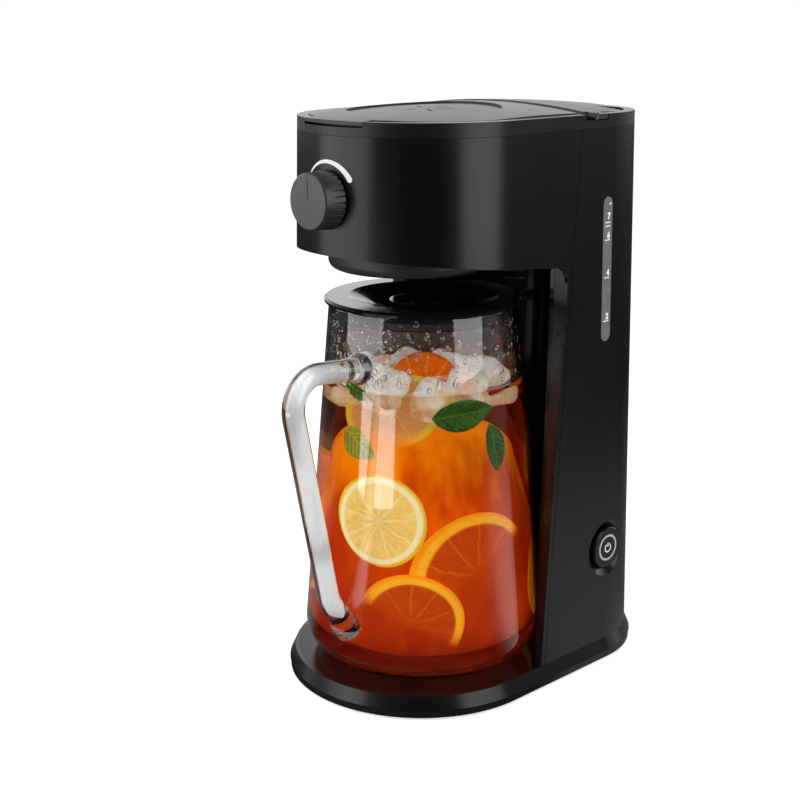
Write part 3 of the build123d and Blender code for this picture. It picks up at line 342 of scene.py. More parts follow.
# ---------------------------------------------------------------- finishes of the carried nodes
housing_black = moulded("housing_black", (0.0026, 0.0026, 0.0027), 0.27, drift=0.025)
trim_black = moulded(
    "trim_black", (0.0030, 0.0030, 0.0031), 0.22, grain=5200.0, depth=1e-6, drift=0.025)
knob_black = moulded("knob_black", (0.019, 0.019, 0.0195), 0.34, depth=2e-6, specular=0.85)
matte_black = moulded("matte_black", (0.005, 0.005, 0.005), 0.50, grain=3000.0, depth=6e-6)
ring_black = sparked("ring_black", (0.0045, 0.0045, 0.0047), 0.34, grain=2600.0, depth=6e-6)
lid_black = sparked("lid_black", (0.030, 0.031, 0.031), 0.40, depth=1e-5)
gloss_black = polished("gloss_black", (0.0022, 0.0022, 0.0024), 0.06, specular=0.3)
deck_black = polished("deck_black", (0.0030, 0.0030, 0.0032), 0.09, specular=0.4)
jug_lid_black = polished("jug_lid_black", (0.0036, 0.0036, 0.0039), 0.09, specular=0.23)
basket_black = moulded("basket_black", (0.022, 0.022, 0.022), 0.36, grain=3000.0, depth=8e-6)
grey_plastic = moulded(
    "grey_plastic", (0.30, 0.30, 0.29), 0.42, grain=3000.0, depth=8e-6, tone=0.05)
rubber = moulded("rubber", (0.014, 0.014, 0.014), 0.68, grain=1800.0, depth=2e-5)
silicone = moulded("silicone", (0.52, 0.52, 0.50), 0.48, grain=2400.0, depth=6e-6, tone=0.05)
seal_black = moulded("seal_black", (0.012, 0.012, 0.012), 0.42, grain=2400.0, depth=4e-6)
steel = metal("steel", (0.56, 0.56, 0.57), 0.26, (1, 1, 12))
cast = metal("cast_aluminium", (0.60, 0.61, 0.62), 0.45, grain=700.0, depth=3e-5)
smoke = clear("smoke_clear", (0.62, 0.65, 0.68), 1.46, (0.5, 0.52, 0.55), 0.08)
woven = make_mesh_steel()
window_look = make_window_look()
lit_white = make_print("lit_white", (0.46, 0.465, 0.48), 0.05)
# The white print glows a little, as painted light.
ink_white = make_print("ink_white", (0.80, 0.81, 0.82), 0.12)
ink_dark = make_print("ink_dark", (0.004, 0.004, 0.004))

looks = {
    housing_black: ["front_housing", "rear_housing"],
    trim_black: ["base_shell", "button_bezel", "power_button"],
    knob_black: ["strength_knob"],
    matte_black: ["base_pan", "brew_chamber", "power_switch", "switch_cradle", "cord_gland"],
    ring_black: ["top_ring"],
    lid_black: ["brew_lid", "tank_lid"],
    gloss_black: ["column_cover"],
    deck_black: ["deck_plate"],
    jug_lid_black: ["jug_lid"],
    basket_black: ["brew_basket", "filter_frame"],
    grey_plastic: ["spray_tray", "drip_valve", "spring_bridge", "knob_shaft", "flow_valve",
                   "tank_shelf", "thermal_fuse", "check_valve", "hot_water_spout",
                   "terminal_block"],
    rubber: ["rubber_feet"],
    silicone: ["drip_valve_seal", "cold_water_hose", "hot_water_riser"],
    seal_black: ["lid_seal"],
    steel: ["base_screws", "brew_hinge_pins", "tank_hinge_pins", "drip_valve_spring",
            "heater_bracket", "thermostat", "hose_clamps"],
    cast: ["heater"],
    smoke: ["water_tank"],
    woven: ["filter_mesh"],
    window_look: ["level_window"],
    lit_white: ["light_ring"],
}
for look, names in looks.items():
    for name in names:
        for slot in frame["nodes"][name].material_slots:
            slot.material = look


# ---------------------------------------------------------------- mesh helpers
def piece(name, points, faces, look, body, smooth=True, place=None):
    """A mesh piece from points in metres, with its finish, that rides on a body. Place is a matrix
    that moves it there first."""
    data = bpy.data.meshes.new(name)
    data.from_pydata([tuple(p) for p in points], [], faces)
    data.validate()
    mesh = bmesh.new()
    mesh.from_mesh(data)
    bmesh.ops.recalc_face_normals(mesh, faces=mesh.faces)
    mesh.to_mesh(data)
    mesh.free()
    data.shade_smooth() if smooth else data.shade_flat()
    data.materials.append(look)
    made = bpy.data.objects.new(name, data)
    scene.collection.objects.link(made)
    if place:
        made.matrix_world = place
    if body:
        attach(made, body)
    return made


def whole_turn(steps):
    """The angles of evenly spaced steps round a circle."""
    return [2 * pi * i / steps for i in range(steps)]


def lathe(profile, steps, place, shape=None):
    """Points and faces of a profile of (radius, z) turned about a vertical axis through place."""
    points, rows, faces = [], [], []
    for r, z in profile:
        if r < 1e-6:
            rows.append([len(points)] * steps)
            points.append(world(place[0], place[1], z))
            continue
        rows.append(range(len(points), len(points) + steps))
        for turn in whole_turn(steps):
            reach = r + (shape(turn, r, z) if shape else 0)
            points.append(world(place[0] + reach * cos(turn), place[1] + reach * sin(turn), z))
    for below, above in zip(rows, rows[1:]):
        for i in range(steps):
            j = (i + 1) % steps
            ring = list(dict.fromkeys((below[i], below[j], above[j], above[i])))
            if len(ring) > 2:
                faces.append(ring)
    return points, faces


def arc(cx, cz, radius, first, last, steps):
    """Points on an arc between two angles in degrees."""
    turns = [radians(first + (last - first) * i / steps) for i in range(steps + 1)]
    return [(cx + radius * cos(t), cz + radius * sin(t)) for t in turns]


def tube(base, rings, steps, flip=False):
    """Faces between rings of points, of which the first has the number base."""
    faces = []
    for k in range(rings - 1):
        for i in range(steps):
            a, b = base + k * steps + i, base + k * steps + (i + 1) % steps
            c, d = b + steps, a + steps
            faces.append((a, d, c, b) if flip else (a, b, c, d))
    return faces


def sweep(path, radii, steps):
    """Points and faces of a round bar along a path, with a radius at each place, in metres."""
    points = []
    along = [(b - a).normalized() for a, b in zip(path, path[1:])]
    inner = [(a + b).normalized() for a, b in zip(along, along[1:])]
    headings = [along[0]] + inner + [along[-1]]
    side = headings[0].orthogonal().normalized()
    for place, heading, r in zip(path, headings, radii):
        side = (side - heading * side.dot(heading)).normalized()
        other = heading.cross(side)
        points += [place + (side * cos(t) + other * sin(t)) * r for t in whole_turn(steps)]
    faces = tube(0, len(path), steps)
    faces.append(tuple(reversed(range(steps))))
    faces.append(tuple(range((len(path) - 1) * steps, len(path) * steps)))
    return points, faces


def slab(outline, place, depth):
    """A thin closed plate with an outline of (u, v). place(u, v, out) gives each point."""
    count = len(outline)
    points = [place(u, v, out) for out in (0, depth) for u, v in outline]
    faces = [tuple(reversed(range(count))), tuple(range(count, 2 * count))]
    faces += [(i, (i + 1) % count, (i + 1) % count + count, i + count) for i in range(count)]
    return points, faces


def strip(line, widths, place, depth):
    """A thin closed band along a line of (u, v), with a width at each point, on a surface."""
    left, right = [], []
    for i, (u, v) in enumerate(line):
        a, b = line[max(i - 1, 0)], line[min(i + 1, len(line) - 1)]
        size = hypot(b[0] - a[0], b[1] - a[1])
        nu, nv = -(b[1] - a[1]) / size, (b[0] - a[0]) / size
        half = widths[i] / 2
        left.append((u + nu * half, v + nv * half))
        right.append((u - nu * half, v - nv * half))
    n = len(line)
    points = [place(u, v, out) for out in (0, depth) for u, v in left + right]
    faces = []
    for i in range(n - 1):
        j = i + 1
        faces.append((i, j, n + j, n + i))
        faces.append((2 * n + i, 3 * n + i, 3 * n + j, 2 * n + j))
        faces.append((i, 2 * n + i, 2 * n + j, j))
        faces.append((n + i, n + j, 3 * n + j, 3 * n + i))
    for i in (0, n - 1):
        faces.append((i, n + i, 3 * n + i, 2 * n + i))
    return points, faces


def join(*parts):
    """Puts several point and face lists together."""
    points, faces = [], []
    for more, their in parts:
        base = len(points)
        points += more
        faces += [tuple(i + base for i in f) for f in their]
    return points, faces


# ---------------------------------------------------------------- jug of glass
AXIS = (0, JUG_Y)
RIM_Z, RIM_R, FLARE = 256.0, 61.5, radians(4.72)
FOOT_Z, WALL, FLOOR = 15.5, 3.0, 8.0
FOOT_ROUNDING, INNER_ROUNDING = 21.0, 18.0
INSIDE_Z = FOOT_Z + FLOOR
LIP_Z = RIM_Z - WALL / 2
# The underside of the foot and the floor inside, as (radius, rise).
FOOT_HOLLOW = ((0, 1.6), (20, 1.5), (40, 1.0), (47, 0.3), (52, 0))
FLOOR_RISE = ((0, 1.0), (22, 0.8), (40, 0.2), (48, 0))
TEA_Z = 206.0
HANDLE_TURN = radians(7.0)
# The pouring lip is opposite the handle, and starts at SPOUT_Z. Spreads are in radians.
SPOUT_TURN, SPOUT_Z = pi / 2 + HANDLE_TURN, 222.0
LIP_OUT, LIP_SPREAD = 8.2, 0.21
PINCH_IN, PINCH_SPREAD, PINCH_OFF = 0.9, 0.15, 0.46


def jug_r(z, inward=0.0):
    """Radius of the jug's wall at height z."""
    return RIM_R - inward + (RIM_Z - z) * tan(FLARE)


def wall_line(inward, floor_z, rounding, top_z):
    """The jug's outline from the rounded foot up the wall."""
    foot_steps, wall_steps = 14, 26
    low_r = jug_r(floor_z, inward)
    cx = low_r - rounding * tan(FLARE) - rounding / cos(FLARE)
    foot = arc(cx, floor_z + rounding, rounding, -90, 90 * FLARE / (pi / 2), foot_steps)
    start_z = foot[-1][1]
    rise = [start_z + (top_z - start_z) * i / wall_steps for i in range(1, wall_steps + 1)]
    return foot + [(jug_r(z, inward), z) for z in rise]


def spout_swell(turn, r, z):
    """Pushes the rim out into a pouring lip, with a slight pinch on both sides."""
    rise = max(0.0, (z - SPOUT_Z) / (RIM_Z - SPOUT_Z))
    off = (turn - SPOUT_TURN + pi) % (2 * pi) - pi
    lip = LIP_OUT * rise**2 * exp(-((off / LIP_SPREAD) ** 2))
    pinch = PINCH_IN * rise**2 * exp(-(((abs(off) - PINCH_OFF) / PINCH_SPREAD) ** 2))
    return lip - pinch


glass = clear("jug_glass", (0.985, 0.99, 0.985), 1.48, (0.96, 0.97, 0.965), 0.0, 4e-5, 26.0)
fill(glass.node_tree, glass.node_tree.nodes["Principled BSDF"], {
    "Coat Weight": 1.0, "Coat IOR": 1.6, "Coat Roughness": 0.02})
outer = [(r, FOOT_Z + rise) for r, rise in FOOT_HOLLOW]
outer += wall_line(0, FOOT_Z, FOOT_ROUNDING, LIP_Z)
outer += arc(jug_r(LIP_Z) - WALL / 2, LIP_Z, WALL / 2, 20, 160, 7)
inner = [(r, INSIDE_Z + rise) for r, rise in FLOOR_RISE]
inner += wall_line(WALL, INSIDE_Z, INNER_ROUNDING, LIP_Z)
jug = piece("jug_glass", *lathe(outer + inner[::-1], 180, AXIS, spout_swell), glass, "jug")
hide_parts("glass_jug")

# The handle is a bar of glass. Its ends sink into the wall, and spread where they melt into it.
BAR_R, MELT, MELT_REACH, SINK = 7.1, 3.4, 5.5, 1.5
UPPER_END, LOWER_END = 200, 66
HANDLE = ((jug_r(221.7) - SINK, 221.3), (129.6, 228.9), (94.4, 74.8), (jug_r(50.5) - SINK, 50.6))
BENDS, BEND_STEPS, LONGEST_STEP = (20.0, 24.0), 16, 3.0


def handle_place(r, z):
    """A place in the handle's plane, from its reach from the jug's axis and its height."""
    return world(AXIS[0] + r * sin(HANDLE_TURN), AXIS[1] - r * cos(HANDLE_TURN), z)


def rounded(corners, bends, steps):
    """A line of (r, z) through corners, with a tangent arc at each inner one."""
    line = [corners[0]]
    for k in range(1, len(corners) - 1):
        here, bend = Vector(corners[k]), bends[k - 1]
        a = (Vector(corners[k - 1]) - here).normalized()
        b = (Vector(corners[k + 1]) - here).normalized()
        half = acos(max(-1, min(1, a.dot(b)))) / 2
        run, centre = bend / tan(half), here + (a + b).normalized() * bend / sin(half)
        first, last = here + a * run - centre, here + b * run - centre
        swing = first.angle(last)
        for i in range(steps + 1):
            t = i / steps
            spot = (first * sin((1 - t) * swing) + last * sin(t * swing)) / sin(swing)
            line.append(tuple(centre + spot))
    return line + [corners[-1]]


def spaced(line, gap):
    """Adds points along a line's long runs."""
    out = [line[0]]
    for a, b in zip(line, line[1:]):
        run = (b[0] - a[0], b[1] - a[1])
        parts = max(1, ceil(hypot(*run) / gap))
        out += [(a[0] + run[0] * i / parts, a[1] + run[1] * i / parts)
                for i in range(1, parts + 1)]
    return out


line = spaced(rounded(HANDLE, BENDS, BEND_STEPS), LONGEST_STEP)
girth = []
for r, z in line:
    off = max(r - jug_r(z), 0)
    spread = MELT * exp(-((off / MELT_REACH) ** 2)) if z > UPPER_END or z < LOWER_END else 0.0
    girth.append((BAR_R + spread) * MM)
spine = [handle_place(r, z) for r, z in line]
handle = piece("jug_handle_glass", *sweep(spine, girth, 40), glass, "jug")
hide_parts("jug_handle")


def make_strand(name, dark, light, shown, glow):
    """In the thick bar: a glowing band of painted light, or a dark line of painted shade, with
    streaks.
    """
    made, tree, shader, coords = start(name)
    streaks = patch(tree, drawn_out(tree, coords, (1, 1, 0.12)), 150.0, 2.0)
    streaks = span(tree, streaks, *NOISE, 0, 1, smooth=True)
    clouds = span(tree, patch(tree, coords, 21.0, 1.0), 0.40, 0.56, 0.64, 1.0, smooth=True)
    shade = scaled(tree, mix(tree, streaks, dark, light), clouds)
    fill(tree, shader, {
        "Base Color": shade, "Emission Color": shade, "Emission Strength": glow,
        "Roughness": 0.5})
    thin_out(tree, shader, span(tree, streaks, 0, 1, shown - 0.04, shown + 0.04))
    return made


def strand(name, look, ends, offset, width):
    """A line inside the bar, left out for a number of points at its ends. Offset and width are
    parts of the bar's radius. A positive offset is towards its outer side."""
    # The offset is across this direction, from which the handle's side is seen.
    facing = Vector((0.67, -0.70, 0.26))
    widest = 7.6 * MM
    places, radii = [], []
    last = len(spine) - 1
    for i in range(ends, last + 1 - ends):
        side = (spine[i + 1] - spine[i - 1]).cross(facing).normalized()
        taper = min(1.0, 0.15 + 0.3 * (i - ends), 0.15 + 0.3 * (last - ends - i))
        places.append(spine[i] + side * offset * girth[i])
        radii.append(width * min(girth[i], widest) * taper)
    return piece(name, *sweep(places, radii, 24), look, "jug")


# The pale band glows as painted light, and the dark line along the bar's outer side is painted
# shade.
painted_light_look = make_strand("handle_painted_light", (0.84, 0.86, 0.86), (0.92, 0.93, 0.93), 0.94, 0.22)
painted_shade_look = make_strand("handle_painted_shade", (0.035, 0.034, 0.036), (0.16, 0.15, 0.15), 0.9, 0.0)
strand("jug_handle_glow_band", painted_light_look, 5, -0.10, 0.51)
strand("jug_handle_shade_line", painted_shade_look, 3, 0.555, 0.10)

# ---------------------------------------------------------------- tea and what floats in it
# The tea reaches a little into the glass, and climbs the wall at its edge, as (inward, rise).
OVERLAP, CLIMB = 0.3, 1.1
EDGE = ((0.8, 0.5), (2.4, 0.1), (5, 0))
tea = clear(
    "tea_clear", (0.99, 0.90, 0.72), 1.333, (0.99, 0.88, 0.70), depth=((0.90, 0.50, 0.06), 20.0))
body = [(0, INSIDE_Z + 0.7)]
body += wall_line(WALL - OVERLAP, INSIDE_Z - OVERLAP, INNER_ROUNDING + OVERLAP, TEA_Z + CLIMB)
edge_r = body[-1][0]
body += [(edge_r - inward, TEA_Z + rise) for inward, rise in EDGE] + [(20, TEA_Z), (0, TEA_Z)]
piece("tea", *lathe(body, 128, AXIS), tea, "jug")


def make_painted_tea_glow():
    """The glowing core in the tea, painted light by its emission: amber above, deep red below, with
    slow swirls.
    """
    made, tree, shader, coords = start("painted_tea_glow")
    height = add(tree, "SeparateXYZ", {"Vector": coords}).outputs[2]
    tall = drawn_out(tree, coords, (1, 1, 0.35))
    swirl = patch(tree, tall, 30.0, 4.0, 0.5)
    fine = patch(tree, tall, 110.0, 3.0)
    for pattern, share in ((swirl, 0.20), (fine, 0.03)):
        height = plus(tree, height, times(tree, minus(tree, pattern, MID), share))
    colour = ramp(tree, span(tree, height, 0.02, 0.20, 0, 1), [
        (0.04, (0.33, 0.017, 0.0006)), (0.24, (0.46, 0.040, 0.0006)),
        (0.54, (0.58, 0.084, 0.0007)), (0.76, (0.93, 0.33, 0.0018)),
        (0.92, (0.95, 0.52, 0.03)), (1.0, (0.94, 0.58, 0.08))])
    fill(tree, shader, {
        "Base Color": colour, "Emission Color": colour, "Emission Strength": 0.45,
        "Specular IOR Level": 0.0, "Roughness": span(tree, fine, *NOISE, 0.5, 0.7)})
    bump(tree, shader, swirl, 2e-3)
    return made


def swirls(turn, r, z):
    """Slow swells of the glowing core."""
    return 2.6 * noise.noise(Vector((2.2 * cos(turn), 2.2 * sin(turn), z / 46.0)))


# The core follows the wall inside, further off it the higher it is, and ends in a dome.
CORE_GAP, CORE_TAPER, CORE_TOP, DOME_R = 8.0, 0.105, 142.0, 30.0
core = [(0, 30.0)]
for r, z in wall_line(WALL, INSIDE_Z, INNER_ROUNDING, CORE_TOP)[3:]:
    core.append((max(r - CORE_GAP - CORE_TAPER * z, 0), z + 5))
core += arc(core[-1][0] - DOME_R, CORE_TOP + 7, DOME_R, 5, 80, 10) + [(0, 180.0)]
# The core glows as painted light inside the tea.
piece("painted_tea_glow", *lathe(core, 72, AXIS, swirls), make_painted_tea_glow(), "jug")


def make_citrus(name, radius, wedges, rind, pith, skin_tone, pulp, pale, glow, fade=None):
    """The face of a cut fruit in its own coordinates: wedges of pulp with skins between, pith and
    rind. Fade (angle, first, last) lets it sink softly into the cloudy tea towards one side."""
    made, tree, shader, coords = start(name)
    x, y, _ = add(tree, "SeparateXYZ", {"Vector": coords}).outputs
    reach = calc(tree, "DIVIDE", reach_of(tree, x, y), radius * MM)
    turn = times(tree, calc(tree, "ARCTAN2", y, x), wedges / (2 * pi))
    wobble = times(tree, minus(tree, patch(tree, coords, 90.0), MID), 0.35)
    turn = plus(tree, turn, wobble)
    part = calc(tree, "ABSOLUTE", minus(tree, calc(tree, "FRACT", turn), 0.5))
    skin = times(tree, minus(tree, 0.5, part), reach)
    sacs = add(tree, "CombineXYZ", {0: times(tree, turn, 7.0), 1: times(tree, reach, 5.5)})
    cells = cellular(tree, sacs.outputs[0], 1.0)
    flesh = mix(tree, span(tree, cells, 0.1, 0.8, 0, 1), pulp, pale)
    flesh = mix(tree, span(tree, skin, 0.008, 0.04, 1, 0), flesh, skin_tone)
    flesh = mix(tree, span(tree, reach, 0.80, 0.86, 0, 1, smooth=True), flesh, pith)
    flesh = mix(tree, span(tree, reach, 0.93, 0.97, 0, 1), flesh, rind)
    # The emission by glow is painted light on the slices, for light that reaches them through the
    # tea.
    fill(tree, shader, {
        "Base Color": flesh, "Emission Color": flesh, "Emission Strength": glow,
        "Roughness": span(tree, cells, 0, 1, 0.25, 0.42), "Specular IOR Level": 0.15})
    ridges = times(tree, span(tree, skin, 0.0, 0.06, 1, 0), 0.6)
    bump(tree, shader, minus(tree, cells, ridges), 3e-4)
    if fade:
        angle, first, last = fade
        across = plus(tree, times(tree, x, cos(angle)), times(tree, y, sin(angle)))
        across = calc(tree, "DIVIDE", across, radius * MM)
        thin_out(tree, shader, span(tree, across, first, last, 1, 0, smooth=True))
    return made


def in_jug(turn, reach, z):
    """A place inside the jug, from its angle, its reach from the axis and its height."""
    return world(AXIS[0] + reach * cos(turn), AXIS[1] + reach * sin(turn), z)


def citrus(name, radius, thick, wedges, look, turn, z, reach, lean, roll, hug):
    """A slice of fruit that faces outwards, with its middle at turn, z and reach in the jug. Hug is
    how far its sides bend back along the wall."""
    random = Random(sum(map(ord, name)))
    pulp_end, edge_start, edge_loss = 0.84, 0.9, 0.65
    swell_high, groove_deep, warp_high, warp_size = 0.45, 0.25, 1.1, 17
    rings = [0.0, 0.07, 0.2, 0.36, 0.52, 0.68, 0.78, pulp_end, edge_start, 0.95, 0.985, 1.0]
    steps, points, faces, rows = 96, [], [], []
    phase = random.random() * 9
    profile = [(f, 1) for f in rings] + [(f, -1) for f in rings[::-1]]
    for f, way in profile:
        rows.append(range(len(points), len(points) + steps))
        groove = groove_deep if 0.8 < f < 0.95 else 0
        edge = thick / 2 * (1 - max(0, (f - edge_start) / (1 - edge_start)) ** 2 * edge_loss)
        for a in whole_turn(steps):
            swell = abs(((a / (2 * pi) * wedges) % 1) - 0.5)
            bulge = swell_high * (0.5 - swell) * (1 - exp(-f * 6)) if f < pulp_end else 0.0
            r = f * radius * (1 + 0.022 * sin(2 * a + phase) + 0.012 * sin(3 * a + 2 * phase))
            x, y = r * cos(a), r * sin(a)
            bend = warp_high * noise.noise(Vector((x / warp_size, y / warp_size, phase)))
            bend -= hug * (r * sin(a + radians(roll)) / radius) ** 2
            height = way * (edge + bulge - groove) + bend
            points.append(Vector((x, y, height)) * MM)
    for below, above in zip(rows, rows[1:]):
        for i in range(steps):
            j = (i + 1) % steps
            faces.append((below[j], below[i], above[i], above[j]))
    out = radians(turn)
    face = Matrix.Rotation(out, 4, "Z") @ Matrix.Rotation(pi / 2, 4, "Y")
    tilt = Matrix.Rotation(radians(lean), 4, Vector((-sin(out), cos(out), 0)))
    spin = Matrix.Rotation(radians(roll), 4, "Z")
    place = Matrix.Translation(in_jug(out, reach, z)) @ tilt @ face @ spin
    return piece(name, points, faces, look, "jug", place=place)


# Each is rind, pith, skins, pulp and pale pulp.
LEMON = (
    (0.84, 0.60, 0.04), (0.93, 0.88, 0.62), (0.93, 0.80, 0.45),
    (0.84, 0.56, 0.12), (0.90, 0.70, 0.28))
ORANGE = (
    (0.93, 0.32, 0.006), (0.95, 0.47, 0.03), (0.80, 0.20, 0.006),
    (0.60, 0.085, 0.001), (0.70, 0.13, 0.002))
SUNK = (
    (0.95, 0.36, 0.004), (0.97, 0.52, 0.03), (0.66, 0.13, 0.002),
    (0.50, 0.052, 0.0006), (0.56, 0.075, 0.001))
SUNK_LEMON = (
    (0.80, 0.60, 0.02), (0.80, 0.62, 0.08), (0.74, 0.50, 0.22),
    (0.62, 0.34, 0.13), (0.70, 0.44, 0.20))
SINK_RIGHT, SINK_LEFT, SINK_LEMON = (
    (radians(30), -0.34, 0.0), (radians(-26), -0.35, 0.18), (0.0, 0.1, 0.95))
WALL_LEAN = -4.7
lemon = make_citrus("lemon_cut", 30.0, 9, *LEMON, 0.42)
orange = make_citrus("orange_cut", 33.0, 10, *ORANGE, 0.30)
sinking_right = make_citrus("orange_sinking_right", 42.0, 10, *SUNK, 0.45, SINK_RIGHT)
sinking_left = make_citrus("orange_sinking_left", 33.0, 10, *SUNK, 0.45, SINK_LEFT)
lemon_low = make_citrus("lemon_sinking", 31.0, 9, *SUNK_LEMON, 0.26, SINK_LEMON)
for name, radius, thick, wedges, look, turn, z, reach, lean, roll, hug in (
    ("lemon_slice_front", 30.0, 5.0, 9, lemon, -68.5, 124.5, 64.0, WALL_LEAN, 20, 4.5),
    ("lemon_slice_top", 31.0, 4.0, 9, lemon_low, -68.0, 190.0, 40.0, -55, 0, 0),
    ("orange_slice_right", 42.0, 4.0, 10, sinking_right, -11.0, 85.0, 62.0, WALL_LEAN, 0, 11),
    ("orange_slice_low", 33.0, 4.0, 10, sinking_left, -50.0, 58.0, 67.0, 2, 0, 7),
    ("orange_slice_back", 33.0, 6.0, 10, orange, 60.0, 60.0, 66.0, WALL_LEAN, 30, 6),
    ("lemon_slice_back", 30.0, 5.0, 9, lemon, 150.0, 112.0, 64.0, WALL_LEAN, 10, 4.5),
    ("orange_slice_left", 33.0, 6.0, 10, orange, -140.0, 84.0, 65.0, WALL_LEAN, 80, 6),
    ("orange_slice_top", 24.0, 6.0, 10, orange, -36.0, 199.0, 8.0, 6, 33, 0),
):
    citrus(name, radius, thick, wedges, look, turn, z, reach, lean, roll, hug)


# ---------------------------------------------------------------- ice
def make_ice():
    """Wet ice, with a cloudy white heart that glows a little as painted light."""
    made = clear("ice_wet", (0.97, 0.98, 0.99), 1.31, (0.93, 0.95, 0.97), 0.03, 8e-4, 120.0)
    tree = made.node_tree
    coords = tree.nodes["Texture Coordinate"].outputs["Object"]
    wet = tree.nodes["Mix Shader"].outputs[0]
    frost = (0.93, 0.94, 0.93, 1)
    white = add(tree, "AddShader", {
        0: add(tree, "BsdfDiffuse", {"Color": frost}).outputs[0],
        1: add(tree, "Emission", {"Color": frost, "Strength": 0.16}).outputs[0]})
    cloud = span(tree, patch(tree, coords, 70.0, 3.0), 0.36, 0.60, 0.20, 0.78, smooth=True)
    show(tree, blend(tree, cloud, wet, white.outputs[0]))
    return made


ice_look = make_ice()


def ball(rings, steps):
    """Pairs of angles for the points of a ball: down from the top, and round."""
    return [(pi * i / rings, turn) for i in range(rings + 1) for turn in whole_turn(steps)]


def ice(name, size, turn, reach, z, tilt):
    """A wet ice cube: rounded corners, hollowed sides and melted hollows."""
    points, seed = [], sum(map(ord, name))
    rings, steps, squareness = 16, 28, 5
    for a, b in ball(rings, steps):
        way = Vector((sin(a) * cos(b), sin(a) * sin(b), cos(a)))
        power = sum(abs(c) ** squareness for c in way) ** (-1 / squareness)
        melt = 1 + 0.10 * noise.noise(way * 1.7 + Vector((seed, 0, 0)))
        points.append(way * power * size / 2 * melt * MM)
    spin = Matrix.Rotation(tilt, 3, Vector((0.6, 0.5, 0.4)).normalized())
    centre = in_jug(radians(turn), reach, z)
    faces = tube(0, rings + 1, steps, flip=True)
    return piece(name, [centre + spin @ p for p in points], faces, ice_look, "jug")


for name, size, turn, reach, z, tilt in (
    ("ice_a", 26, -112, 41, 204, 0.5), ("ice_b", 25, -75, 44, 205, 1.2),
    ("ice_c", 26, -8, 44, 202, 0.9), ("ice_d", 27, 34, 40, 204, 2.1),
    ("ice_e", 26, 92, 38, 199, 1.6), ("ice_f", 27, 150, 40, 197, 0.3),
    ("ice_g", 26, -150, 41, 200, 2.6), ("ice_h", 25, 60, 14, 205, 1.0),
    ("ice_i", 24, -36, 45, 199, 0.7),
):
    ice(name, size, turn, reach, z, tilt)


# ---------------------------------------------------------------- mint
def make_leaf_look(name, dark, light):
    """A leaf's skin, with a rib along X, slanting veins and fine cells."""
    made, tree, shader, coords = start(name)
    x, y, _ = add(tree, "SeparateXYZ", {"Vector": coords}).outputs
    y = calc(tree, "ABSOLUTE", y)
    rib = span(tree, y, 0.0002, 0.0008, 1, 0)
    slant = times(tree, minus(tree, x, times(tree, y, 0.9)), 260.0)
    off = calc(tree, "ABSOLUTE", minus(tree, calc(tree, "FRACT", slant), 0.5))
    veins = span(tree, off, 0.0, 0.16, 1, 0)
    cells = cellular(tree, coords, 520.0)
    tone = mix(tree, span(tree, patch(tree, coords, 120.0), *NOISE, 0, 1), dark, light)
    lines = times(tree, calc(tree, "MAXIMUM", rib, veins), 0.55)
    fill(tree, shader, {
        "Base Color": mix(tree, lines, tone, [min(1, c) for c in toned(light, 2.6)]),
        "Roughness": span(tree, cells, 0, 1, 0.3, 0.5)})
    bump(tree, shader, minus(tree, cells, times(tree, veins, 0.8)), 3e-4)
    return made


def leaf(name, length, width, turn, reach, z, face_turn, lean, look):
    """A mint leaf with a folded rib and a toothed edge, facing outwards."""
    along, across = 30, 12
    thick, fold, curl, teeth = 0.35, 0.30, 0.22, 11
    points, faces = [], []
    for layer in (0.0, -thick):
        for i in range(along + 1):
            t = i / along
            tooth = 1 + 0.07 * abs(((t * teeth) % 1) - 0.5)
            half = width / 2 * (sin(pi * t**0.85)) ** 0.75 * tooth + 0.25
            for j in range(across + 1):
                s = 2 * j / across - 1
                x, y = (t - 0.5) * length, s * half
                ripple = 0.35 * sin(t * 40) * abs(s)
                lift = abs(s) * half * fold - (t - 0.5) ** 2 * length * curl + ripple
                points.append(Vector((x, y, lift + layer)) * MM)
    row = across + 1
    count = row * (along + 1)
    for i in range(along):
        for j in range(across):
            a, b = i * row + j, (i + 1) * row + j
            faces.append((a, b, b + 1, a + 1))
            faces.append((count + a, count + a + 1, count + b + 1, count + b))
        for j in (0, across):
            a, b = i * row + j, (i + 1) * row + j
            faces.append((a, count + a, count + b, b) if j == 0 else (a, b, count + b, count + a))
    out = radians(turn)
    stand = Matrix.Rotation(out, 4, "Z") @ Matrix.Rotation(pi / 2 + radians(lean), 4, "Y")
    spin = Matrix.Rotation(radians(face_turn), 4, "Z")
    place = Matrix.Translation(in_jug(out, reach, z)) @ stand @ spin
    return piece(name, points, faces, look, "jug", place=place)


mint_dark = make_leaf_look("mint_dark", (0.005, 0.05, 0.006), (0.045, 0.20, 0.02))
mint_pale = make_leaf_look("mint_pale", (0.20, 0.33, 0.02), (0.45, 0.55, 0.06))
leaf("mint_leaf_a", 40, 20, -20, 60.0, 194, 95, 4, mint_dark)
leaf("mint_leaf_b", 34, 15, 2, 60.5, 168, 15, 3, mint_dark)
leaf("mint_leaf_c", 27, 19, -84, 60.5, 172, 55, 2, mint_pale)
leaf("mint_leaf_d", 24, 9, -88, 58.0, 205, 70, 10, mint_dark)
leaf("mint_leaf_e", 36, 18, 120, 60.0, 186, 60, 4, mint_dark)


